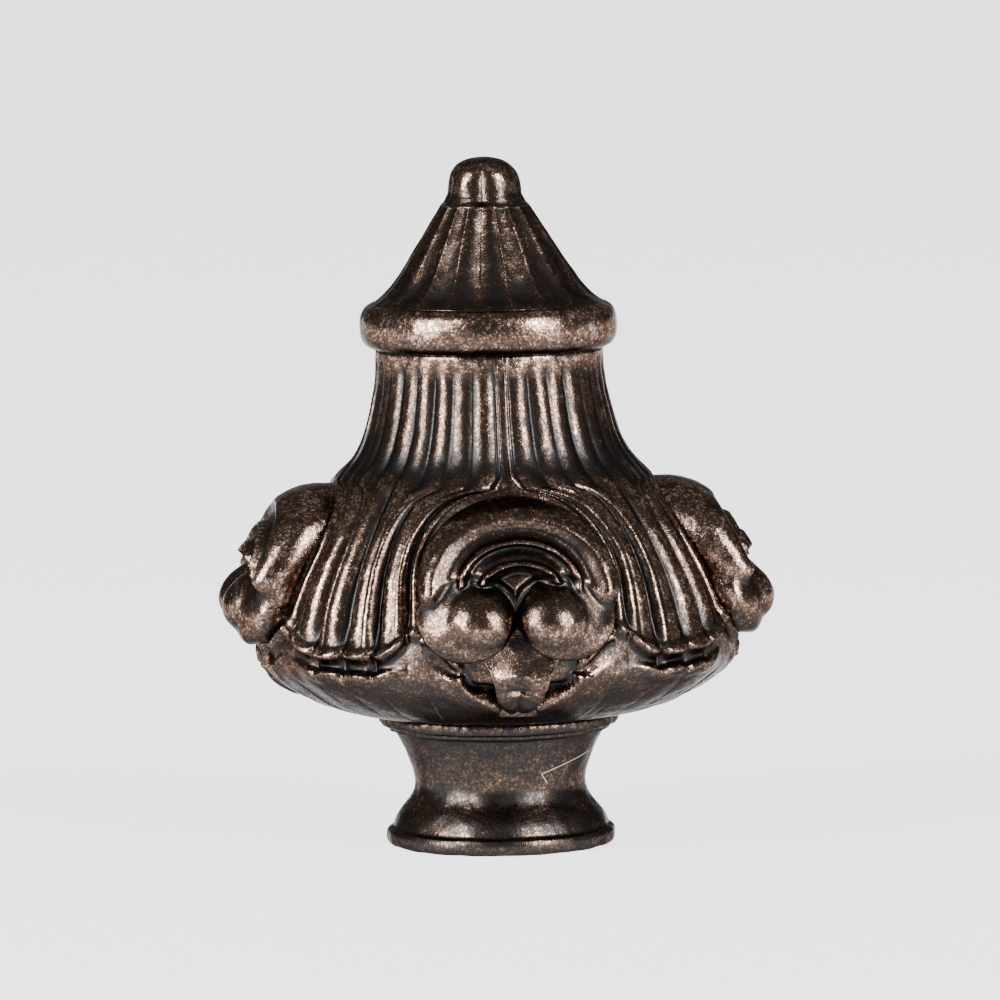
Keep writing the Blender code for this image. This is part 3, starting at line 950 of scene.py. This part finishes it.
    def hem(self, distance: Array, angle: Array, scallop: Array) -> tuple[Array, Array]:
        """Relief of the hem: a rolled lip over a hollow, a second ridge, and a dished lens beside a tongue.

        The lip and the ridge are soft bells about a curve that waves from lobe to lobe and climbs in an
        arch beside each cartouche. The lens is a bell of angle under that arch.

        Args:
            distance: Distance from the hem along the profile, positive upwards.
            angle: Angle from the middle of the nearest cartouche.
            scallop: From 0 at a lobe's edge to 1 at its middle.

        Returns:
            Height of the relief, and the share of the lobes' depth that is left above the lip.
        """
        beside = np.abs(angle)
        arch = self.arch_rise * (1.0 - ease(self.arch_angle, self.arch_end_angle, beside))
        arch = arch * ease(self.arch_foot_angle, self.arch_top_angle, beside)
        wave = self.scallop * (0.5 - scallop) + self.ripple * np.sin(9.0 * angle + 1.3)
        lip = distance - self.lip_above_hem - arch - wave
        ridge = distance - self.ridge_above_hem - 0.45 * arch - 0.6 * wave + self.scallop * (1.0 - scallop)
        clear = ease(self.plate_edge_angle, self.clear_angle, beside)
        rolled = self.lip_height * swell(lip / self.lip_half_width) * mix(0.55, 1.0, scallop) * clear
        between = ease(-0.1 * MM, 0.5 * MM, -lip) * ease(0.0, 0.5 * MM, ridge)
        edge = self.ridge_height * swell(ridge / self.ridge_half_width)
        lens = swell((beside - self.arch_angle) / self.lens_half_angle) ** 0.7
        lens = lens * ease(0.2 * MM, 0.9 * MM, -lip) * ease(-5.6 * MM, -1.5 * MM, distance)
        relief = rolled + (edge - self.hollow_depth * between) * clear * (1.0 - lens)
        relief = relief - self.lens_depth * lens
        kept = ease(-0.5 * MM, 2.2 * MM, lip)
        return relief, kept + 0.45 * (1.0 - kept) * (1.0 - lens) * ease(-1.2 * MM, 0.4 * MM, distance)

    def panel(self, radius: Array, height: Array, distance: Array, sector: int) -> Array:
        """One panel's points: convex lobes that meet in sharp grooves, and a scalloped, rolled hem.

        A lobe's surface lies below its crest by g1 (1 - x)^2.6 + g2 x^2.6, with x across the lobe and g1, g2
        the depths of the grooves beside it.

        Args:
            radius: Plain radius of each row.
            height: Height of each row.
            distance: Distance of each row from the hem.
            sector: Number of the panel.

        Returns:
            Rows by columns by x, y, z.
        """
        size = self.turning
        rng = np.random.default_rng(self.seed + sector)
        gap = self.gap_half_angle(height)
        full = self.cartouche_half_width / size.belly_radius
        opened = np.clip((gap - self.ridge_half_angle) / (full - self.ridge_half_angle), 0.0, 1.0)
        opened = ease(0.0, 1.0, opened) * (height < size.shoulder_z + 0.3 * size.neck)
        lobe = np.repeat(np.arange(self.lobe_count), self.lobe_columns)
        across = np.tile(np.arange(self.lobe_columns) / self.lobe_columns, self.lobe_count)[None, :]
        edges = self.lobe_edges(opened[:, 0])
        varied = 1.0 + self.lobe_variation * rng.uniform(-1.0, 1.0, self.lobe_count + 1)
        depths = self.groove_depths(opened[:, 0]) * varied
        share = mix(edges[:, lobe], edges[:, lobe + 1], across)
        local = gap + (QUARTER - 2.0 * gap) * share
        below = depths[:, lobe] * (1.0 - across) ** self.lobe_curve
        below = below + depths[:, lobe + 1] * across ** self.lobe_curve
        belly = 1.0 - ease(self.cartouche_z, size.shoulder_z + 1.0 * MM, height)
        depth = mix(self.neck_depth, self.belly_depth, belly)
        fading = ease(size.neck_top_z - 0.22 * size.neck, size.neck_top_z - 0.2 * MM, height)
        depth = depth * (1.0 - self.top_fading * fading)
        pair = np.clip((share - self.fillet_share) / (1.0 - 2.0 * self.fillet_share), 0.0, 1.0) * self.pairs
        number = np.clip(np.floor(pair), 0, self.pairs - 1).astype(int)
        varied = 1.0 + self.scallop_variation * rng.uniform(-1.0, 1.0, self.pairs)[number]
        scallop = dome(2.0 * (pair - number) - 1.0) * varied
        nearest = np.where(local < 0.5 * QUARTER, local, local - QUARTER)
        hem, kept = self.hem(distance, nearest, scallop)
        petals = self.petal_depth * ease(0.0, 2.0 * MM, -distance) * (1.0 - scallop)
        relief = hem - depth * below * kept - petals
        return on_round(QUARTER * sector + local, radius + relief, height)

    def ground(self, radius: Array, height: Array, distance: Array, sector: int) -> Array:
        """The strip between two panels: grooved on the neck, plain behind the plate, cut beside the tongue.

        Args:
            radius: Plain radius of each row.
            height: Height of each row.
            distance: Distance of each row from the hem.
            sector: Number of the cartouche in the strip.

        Returns:
            Rows by columns by x, y, z.
        """
        size = self.turning
        across = (2.0 * np.arange(self.gap_columns) / self.gap_columns - 1.0)[None, :]
        local = self.gap_half_angle(height) * across
        on_neck = ease(size.shoulder_z, size.shoulder_z + 0.3 * size.neck, height)
        on_neck = on_neck * (1.0 - ease(size.neck_top_z - 0.35 * size.neck, size.neck_top_z, height))
        groove = -self.ground_share * self.neck_depth * on_neck
        hem, kept = self.hem(distance, local, np.ones_like(local))
        edge = mix(0.8, 1.0, swell(across)) * kept * (1.0 - ease(9.0 * MM, 15.0 * MM, distance))
        sunk = -self.belly_depth * edge
        down = ease(0.5 * MM, -3.4 * MM, distance)
        tongue = mix(self.tongue_half_width, self.tongue_tip_half_width, down)
        reach = np.abs(local) * radius - tongue - self.wedge_width * (1.0 - 0.85 * down)
        wedge = self.wedge_depth * ease(0.1 * MM, -0.6 * MM, reach) * (1.0 - kept)
        wedge = wedge * ease(-4.2 * MM, -3.2 * MM, distance)
        lean = self.wedge_lean * ease(0.6 * MM, -3.0 * MM, distance)
        outer = 1.0 - swell(np.abs(local) / self.strip_angle) ** 0.5
        inwards = radius + groove + sunk - wedge * np.cos(lean) + hem * outer
        return on_round(QUARTER * sector + local, inwards, height + wedge * np.sin(lean))

    def build(self) -> bpy.types.Object:
        """Set the strips and panels side by side round the axis.

        Returns:
            The piece.
        """
        radius, height, distance = self.rows()
        strips = []
        for sector in range(SECTORS):
            strips.append(self.ground(radius, height, distance, sector))
            strips.append(self.panel(radius, height, distance, sector))
        return self.piece("reeded_body", Grid(np.concatenate(strips, axis=1)))


@dataclass
class TurnedFoot(Part):
    """Collar bead, hollow moulding, foot lip, flat underside and the tapped socket."""

    columns: int = 224
    bead_count: int = 22
    hollow_count: int = 44
    lip_count: int = 24
    flat_count: int = 8
    bore_count: int = 90
    socket_radius: float = 3.0 * MM
    thread_depth: float = 0.32 * MM
    thread_pitch: float = 25.4 / 27.0 * MM
    socket_depth: float = 8.0 * MM
    chamfer: float = 0.4 * MM
    bead_roughness: float = 0.09 * MM
    nicks: int = 61
    nick_groups: int = 17
    bead_step: float = 0.45 * MM
    bead_foot: float = 0.28 * MM
    waist_share: float = 0.45
    scotia_top_curve: float = 1.6
    scotia_foot_curve: float = 1.2
    scotia_sway: float = 0.085
    lip_bulge: float = 0.55 * MM
    drill_slope: float = 0.6

    def bead_rows(self) -> tuple[Array, Array]:
        """Plug in the bowl, oval bead by sin^0.8 and cos^0.85 of half a turn, and a small step under it.

        Returns:
            Radii and heights.
        """
        size = self.turning
        plug = lid(0.3 * MM, size.scotia_top_radius + 0.2 * MM, size.bowl_z + 0.8 * MM)
        angle = math.pi * np.linspace(0.02, 1.0, self.bead_count)
        bead = mix(size.scotia_top_radius + self.bead_step, size.collar_radius, np.sin(angle) ** 0.8)
        up = 0.5 + 0.5 * signed_power(np.cos(angle), 0.85)
        bead_height = size.collar_z + mix(self.bead_foot, size.collar, up)
        step = size.scotia_top_radius + np.array([0.36, 0.36, 0.34, 0.05]) * MM
        step_height = size.collar_z + np.array([0.22, 0.1, 0.0, -0.06]) * MM
        return joined(plug, (bead, bead_height), (step, step_height))

    def scotia_rows(self) -> tuple[Array, Array]:
        """Hollow that spreads from its waist by t^1.6 up and by t^1.2 and a sine down, then a round lip.

        Returns:
            Radii and heights.
        """
        size = self.turning
        height = size.collar_z - size.scotia * np.linspace(0.02, 1.0, self.hollow_count)
        waist = size.foot_lip + self.waist_share * size.scotia
        above = np.clip((height - waist) / (size.collar_z - waist), 0.0, 1.0) ** self.scotia_top_curve
        below = np.clip((waist - height) / (waist - size.foot_lip), 0.0, 1.0)
        below = below ** self.scotia_foot_curve - self.scotia_sway * np.sin(TURN * below)
        hollow = mix(size.waist_radius, size.scotia_top_radius, above)
        hollow = hollow + (size.foot_fillet_radius - size.waist_radius) * below
        angle = math.pi * np.linspace(0.12, 0.93, self.lip_count)
        lip = size.foot_radius - self.lip_bulge * (1.0 - np.sin(angle) ** 0.7)
        lip_height = 0.5 * size.foot_lip * (0.94 + 0.98 * signed_power(np.cos(angle), 0.8))
        return joined((hollow, height), (lip, np.maximum(lip_height, 0.0)))

    def inner_rows(self) -> tuple[Array, Array]:
        """Flat underside, chamfer and bore up to the drill's cone.

        Returns:
            Radii and heights.
        """
        seat_radius = self.turning.foot_radius - 0.5 * MM
        flat = np.linspace(seat_radius, self.socket_radius + self.chamfer, self.flat_count)
        bore = np.linspace(self.chamfer, self.socket_depth, self.bore_count)
        cone = np.linspace(self.socket_radius, 0.2 * MM, self.flat_count)
        cone_height = self.socket_depth + (self.socket_radius - cone) * self.drill_slope
        wall = np.full_like(bore, self.socket_radius)
        return joined((flat, np.zeros_like(flat)), (wall, bore), (cone, cone_height))

    def build(self) -> bpy.types.Object:
        """Turn the profile, cut the thread as a wave that climbs one pitch a turn, and roughen the bead.

        Returns:
            The piece.
        """
        size = self.turning
        inner = self.inner_rows()
        radius, height = joined(self.bead_rows(), self.scotia_rows(), inner)
        angle = round_angles(self.columns)
        inside = np.arange(len(radius))[:, None] >= len(radius) - len(inner[0])
        in_bore = inside & (radius < self.socket_radius + 0.01 * MM)
        threaded = in_bore * ease(self.chamfer, 3.0 * self.chamfer, height)
        threaded = threaded * (1.0 - ease(self.socket_depth - 1.0 * MM, self.socket_depth, height))
        thread = self.thread_depth * threaded * np.sin(TURN * height / self.thread_pitch - angle)
        on_bead = swell((height - size.collar_z - 0.55 * size.collar) / (0.6 * size.collar))
        on_bead = on_bead * (radius > size.collar_radius - 0.9 * MM)
        nicks = np.sin(self.nicks * angle + 9.0 * np.sin(3.0 * angle))
        nicks = nicks * np.sin(self.nick_groups * angle + 2.0) ** 2
        raised = thread * 0.5 + self.bead_roughness * nicks * on_bead
        return self.piece("turned_foot", Grid(on_round(angle, radius + raised, height)))


@dataclass
class ScrollCartouche(Part):
    """One scroll: a plate with a raised lip and two ribs round an arched recess, ending in two volutes."""

    half_width: float = ReededBody.cartouche_half_width
    rise: float = ReededBody.cartouche_rise
    drop: float = ReededBody.cartouche_drop
    above_hem: float = ReededBody.cartouche_above_hem
    rings: int = 116
    columns: int = 208
    plate: float = 2.10 * MM
    crown: float = 0.50 * MM
    lip: float = 0.60 * MM
    trough: float = 0.35 * MM
    moat: float = 0.6 * MM
    rib: float = 0.45 * MM
    recess: float = 1.0 * MM
    inner_drop: float = 0.4 * MM
    ball_radius: float = 2.5 * MM
    ball_spread: float = 2.55 * MM
    ball_drop: float = 1.95 * MM
    ball_height: float = 3.1 * MM
    comma_spread: float = 3.6 * MM
    comma_drop: float = 2.05 * MM
    comma_half_width: float = 3.45 * MM
    comma_half_height: float = 3.1 * MM
    comma_edge: float = 0.60 * MM
    comma_height: float = 1.60 * MM
    lean: float = -0.30 * MM
    notch: float = 3.0 * MM
    root: float = 1.6 * MM
    deeper_root: float = 1.5 * MM
    lip_at: float = 0.83
    trough_at: float = 0.68
    rib_at: float = 0.543
    inner_rib_at: float = 0.378
    volute_blend: float = 0.30 * MM
    arch_blend: float = 0.50 * MM

    def outline(self, angle: Array) -> Array:
        """Distance of the edge from the middle at an angle from straight up.

        It is the farthest of three ovals: the wide arch above, which runs straight down at its sides, and
        the two volutes below, between which it is notched.

        Args:
            angle: Angles from straight up towards the left.

        Returns:
            Distances.
        """
        right, up = -np.sin(angle), np.cos(angle)
        arch = 1.0 / np.sqrt((right / self.half_width) ** 2 + (up / self.rise) ** 2)
        reach = np.maximum(np.where(up > 0.0, arch, 0.0), self.notch)
        straight = self.half_width / np.maximum(np.abs(right), 1e-6)
        reach = np.maximum(reach, np.where((up <= 0.0) & (straight * up > -self.comma_drop), straight, 0.0))
        for side in (-1.0, 1.0):
            a, b = self.comma_half_width, self.comma_half_height
            centre, low = side * self.comma_spread + self.lean, -self.comma_drop
            square = (right / a) ** 2 + (up / b) ** 2
            along = right * centre / a ** 2 + up * low / b ** 2
            rest = (centre / a) ** 2 + (low / b) ** 2 - 1.0
            under = along ** 2 - square * rest
            far = (along + np.sqrt(np.clip(under, 0.0, None))) / square
            reach = np.maximum(reach, np.where(under > 0.0, far, 0.0))
        return reach

    def relief(self, across: Array, up: Array) -> Array:
        """Height above the belly.

        A volute is the softly higher one of a ball, a half circle to the power 0.85, and a wide comma. The
        arch meets it the same way.

        Args:
            across: Distance to the right of the middle.
            up: Distance above the middle.

        Returns:
            Heights.
        """
        side = np.abs(across - self.lean)
        head = np.hypot(side - self.ball_spread, up + self.ball_drop) / self.ball_radius
        ball = self.ball_height * dome(head) ** 0.85
        comma_reach = np.hypot((side - self.comma_spread) / self.comma_half_width,
                               (up + self.comma_drop) / self.comma_half_height)
        comma = self.comma_edge * (comma_reach < 1.02) + self.comma_height * dome(comma_reach) ** 0.9
        comma = comma * (1.0 - 0.9 * ease(0.2 * MM, 2.4 * MM, up))
        volute = softly_higher(ball, comma, self.volute_blend * (comma_reach < 1.02))
        return softly_higher(self.arch_relief(across, up, head), volute, self.arch_blend)

    def arch_relief(self, across: Array, up: Array, head: Array) -> Array:
        """Height of the arch alone, which a moat parts from the balls.

        It is a low dome with a round rim: a lip at 0.83 of its reach, a trough at 0.68, a rib at 0.54 and,
        about a lower middle, a rib at 0.38 round a sunk field. Each is a soft bell of the reach.

        Args:
            across: Distance to the right of the middle.
            up: Distance above the middle.
            head: Distance from the nearer ball's middle, in ball radii.

        Returns:
            Heights.
        """
        reach = np.hypot(across / self.half_width, np.maximum(up, 0.0) / self.rise)
        inner = np.hypot(across / self.half_width, (up + self.inner_drop) / self.rise)
        past_lip = np.maximum(reach - self.lip_at, 0.0)
        rolled = self.lip * swell(np.minimum(reach - self.lip_at, 0.0) / 0.21)
        rolled = rolled - self.trough * swell((reach - self.trough_at) / 0.13)
        ribs = self.rib * (swell((reach - self.rib_at) / 0.06) + swell((inner - self.inner_rib_at) / 0.055))
        sunk = self.recess * (1.0 - ease(0.24, 0.37, inner)) + 0.25 * MM * swell((reach - 0.46) / 0.09)
        moat = self.moat * swell((head - 1.04) / 0.30)
        arch = self.plate + self.crown * (1.0 - reach ** 2) + rolled + ribs - sunk - moat
        arch = arch * dome(past_lip / 0.18) * ease(0.80, 1.02, head)
        return arch * mix(0.25, 1.0, 1.0 - ease(0.0, 2.4 * MM, -up))

    def build(self, sector: int) -> bpy.types.Object:
        """Wrap the plate on the belly.

        A ring's point lies at reach times the outline. The last rings go down the edge and under the belly.

        Args:
            sector: Number of the cartouche, counted from the front towards +X.

        Returns:
            The piece.
        """
        size = self.turning
        middle = size.hem_z + self.above_hem + self.drop
        face = np.linspace(0.006, 1.0, self.rings) ** 0.9
        edge = np.array([1.0, 1.0, 0.995, 0.985, 0.97, 0.95, 0.6, 0.05])
        sink = np.array([0.25, 0.5, 0.75, 0.95, 1.0, 1.0, 1.0, 1.0])
        reach = np.concatenate([face, edge])[:, None]
        angle = round_angles(self.columns)
        distance = reach * self.outline(angle)
        across = -distance * np.sin(angle)
        height = middle + distance * np.cos(angle)
        surface = size.body_radius(height)
        relief = self.relief(across[:self.rings], height[:self.rings] - middle)
        walls = relief[-1:] * (1.0 - sink[:, None]) - self.root * sink[:, None]
        walls[-2:] -= self.deeper_root
        outward = surface + np.concatenate([relief, walls])
        turned = QUARTER * sector + across / surface
        return self.piece(f"scroll_cartouche_{sector + 1}", Grid(on_round(turned, outward, height)))


@dataclass
class HangingTongue(Part):
    """Trumpet-shaped shell under each cartouche, over the hem and along the bowl, with a two-lobed tip."""

    columns: int = 120
    rings: int = 60
    top_half_width: float = 3.1 * MM
    waist_half_width: float = 1.85 * MM
    tip_half_width: float = 1.15 * MM
    above_hem: float = 3.0 * MM
    reach_in: float = 3.6 * MM
    step: float = 0.52
    fullness: float = 0.6
    dish: float = 0.55 * MM
    shell_inset: float = 0.15 * MM
    crease_height: float = 0.25 * MM
    lobe_inset: float = 0.40 * MM
    lobe_height: float = 0.65 * MM
    root: float = 1.3 * MM
    lean: float = math.radians(72.0)

    def build(self, sector: int) -> bpy.types.Object:
        """Lay the shell's rings along the path from above the hem in along the bowl.

        Above a curved step the shell is dished by (1 - x^2)^2; below it two lobes stand up beside a groove.

        Args:
            sector: Number of the cartouche it hangs under.

        Returns:
            The piece.
        """
        size = self.turning
        face = np.linspace(0.01, 1.0, self.rings)
        reach = np.concatenate([face, [1.0, 0.97, 0.92, 0.5, 0.05]])[:, None]
        sink = np.concatenate([np.zeros(self.rings), [0.5, 0.9, 1.0, 1.0, 1.0]])[:, None]
        angle = round_angles(self.columns)
        side = -signed_power(np.sin(angle), self.fullness) * reach
        along = 0.5 - 0.5 * signed_power(np.cos(angle), self.fullness) * reach
        half = mix(self.top_half_width, self.waist_half_width, ease(0.12, 0.58, along))
        half = mix(half, self.tip_half_width, ease(0.6, 1.0, along))
        radius, height = size.under_path(along * (self.above_hem + self.reach_in), self.above_hem)
        crease = along - self.step - 0.07 * (1.0 - side ** 2)
        upper = 1.0 - ease(-0.02, 0.03, crease)
        shell = self.crease_height * swell(crease / 0.16) - self.shell_inset
        shell = shell - self.dish * swell(side * 0.95)
        lobes = self.lobe_height * dome((np.abs(side) - 0.48) / 0.56) * dome((crease - 0.2) / 0.26)
        rise = mix(mix(lobes - self.lobe_inset, shell, upper), -self.root, sink)
        lean = self.lean * ease(0.35, 0.92, along)
        turned = QUARTER * sector + half * side / radius
        grid = Grid(on_round(turned, radius + rise * np.cos(lean), height - rise * np.sin(lean)))
        return self.piece(f"hanging_tongue_{sector + 1}", grid)


def direction(turn: float, rise: float) -> Vector:
    """Unit vector from the object towards a place in the studio.

    Args:
        turn: Degrees from the front towards +X.
        rise: Degrees above the table.

    Returns:
        The vector.
    """
    turn, rise = math.radians(turn), math.radians(rise)
    return Vector((math.sin(turn) * math.cos(rise), -math.cos(turn) * math.cos(rise), math.sin(rise)))


@dataclass(frozen=True)
class SoftBox:
    """A tall soft box at a turn (from the front towards +X) and rise, in degrees."""

    name: str
    turn: float
    width: float
    watts: float
    rise: float = 22.0
    height: float = 0.50
    distance: float = 0.60
    aim_height: float = 25.0 * MM

    def hang(self) -> None:
        """Hang the soft box, facing the finial."""
        light = bpy.data.lights.new(self.name, "AREA")
        light.shape = "RECTANGLE"
        light.size, light.size_y = self.width, self.height
        light.energy = self.watts
        item = bpy.data.objects.new(self.name, light)
        back = direction(self.turn, self.rise)
        place = Vector((0.0, 0.0, self.aim_height)) + back * self.distance
        item.matrix_world = Matrix.Translation(place) @ back.to_track_quat("Z", "Y").to_matrix().to_4x4()
        bpy.context.scene.collection.objects.link(item)


@dataclass(frozen=True)
class Studio:
    """Pale paper floor, two tall soft boxes, a dim room and the photograph's camera."""

    camera_turn: float = -5.6
    camera_rise: float = 6.0
    camera_lean: float = 0.8
    distance: float = 0.62
    frame_width: float = 0.0742
    aim_right: float = 0.25 * MM
    aim_height: float = 25.5 * MM
    sensor: float = 36.0
    room_light: float = 0.42
    floor_radius: float = 4.0
    floor_glow: float = 2.3
    floor_paint: tuple = (0.24, 0.24, 0.24, 1.0)
    floor_dullness: float = 0.9
    floor_sides: int = 96
    floor_drop: float = 0.02 * MM
    front_glow: tuple = (0.22, 0.22, 0.22, 1.0)
    glow_reach: tuple = (-0.34, -0.07)
    lights: tuple = (
        SoftBox("left_soft_box", turn=-60.0, width=0.28, watts=14.5),
        SoftBox("right_soft_box", turn=42.0, width=0.20, watts=11.5),
    )

    def camera(self) -> bpy.types.Object:
        """Place the camera on the photograph's line of sight, leaning as the photograph does.

        Returns:
            The camera.
        """
        back = direction(self.camera_turn, self.camera_rise)
        turned = (-back).to_track_quat("-Z", "Y").to_matrix()
        leaned = turned @ Matrix.Rotation(math.radians(-self.camera_lean), 3, "Z")
        aim = Vector((0.0, 0.0, self.aim_height)) + turned @ Vector((self.aim_right, 0.0, 0.0))
        lens = bpy.data.cameras.new("camera")
        lens.sensor_width = self.sensor
        lens.lens = self.sensor * self.distance / self.frame_width
        lens.clip_start = 0.01
        item = bpy.data.objects.new("camera", lens)
        item.matrix_world = Matrix.Translation(aim + back * self.distance) @ leaned.to_4x4()
        bpy.context.scene.collection.objects.link(item)
        bpy.context.scene.camera = item
        return item

    def room(self) -> None:
        """Surround the stage with an even, dim room."""
        world = bpy.data.worlds.new("room")
        world.use_nodes = True
        background = world.node_tree.nodes["Background"]
        background.inputs["Color"].default_value = WHITE
        background.inputs["Strength"].default_value = self.room_light
        bpy.context.scene.world = world

    def floor(self) -> bpy.types.Object:
        """Lay a wide round sheet of pale paper that glows evenly behind the finial and less in front of it.

        Returns:
            The floor.
        """
        rim = on_round(-round_angles(self.floor_sides)[0], self.floor_radius, -self.floor_drop)
        mesh = bpy.data.meshes.new("paper_floor")
        mesh.from_pydata(rim.tolist(), [], [list(range(len(rim)))])
        look = Shading("pale_paper")
        look.shader.inputs["Base Color"].default_value = self.floor_paint
        look.shader.inputs["Roughness"].default_value = self.floor_dullness
        # Painted light: the floor glows though it is no lamp. It is white behind the finial and dimmer in
        # front of it, so the finial's underside reflects less.
        glow = look.colours(self.front_glow, WHITE, look.along("Y").step(*self.glow_reach))
        look.feed(look.shader.inputs["Emission Color"], glow)
        look.shader.inputs["Emission Strength"].default_value = self.floor_glow
        mesh.materials.append(look.material)
        item = bpy.data.objects.new("paper_floor", mesh)
        bpy.context.scene.collection.objects.link(item)
        return item

    def build(self) -> None:
        """Set up camera, lights, surround and floor."""
        self.camera()
        for light in self.lights:
            light.hang()
        self.room()
        self.floor()


def main() -> None:
    """Build the studio and every piece of the finial."""
    logging.basicConfig(level=logging.INFO, format="%(name)s: %(message)s")
    Studio().build()
    turning = Turning()
    skin = CastSkin(turning.top_z)
    finish = OilRubbedBronze().material()
    FlutedCap(turning, skin, finish).build()
    ReededBody(turning, skin, finish).build()
    TurnedFoot(turning, skin, finish).build()
    cartouche = ScrollCartouche(turning, skin, finish)
    tongue = HangingTongue(turning, skin, finish)
    for sector in range(SECTORS):
        cartouche.build(sector)
        tongue.build(sector)


if __name__ == "__main__":
    main()
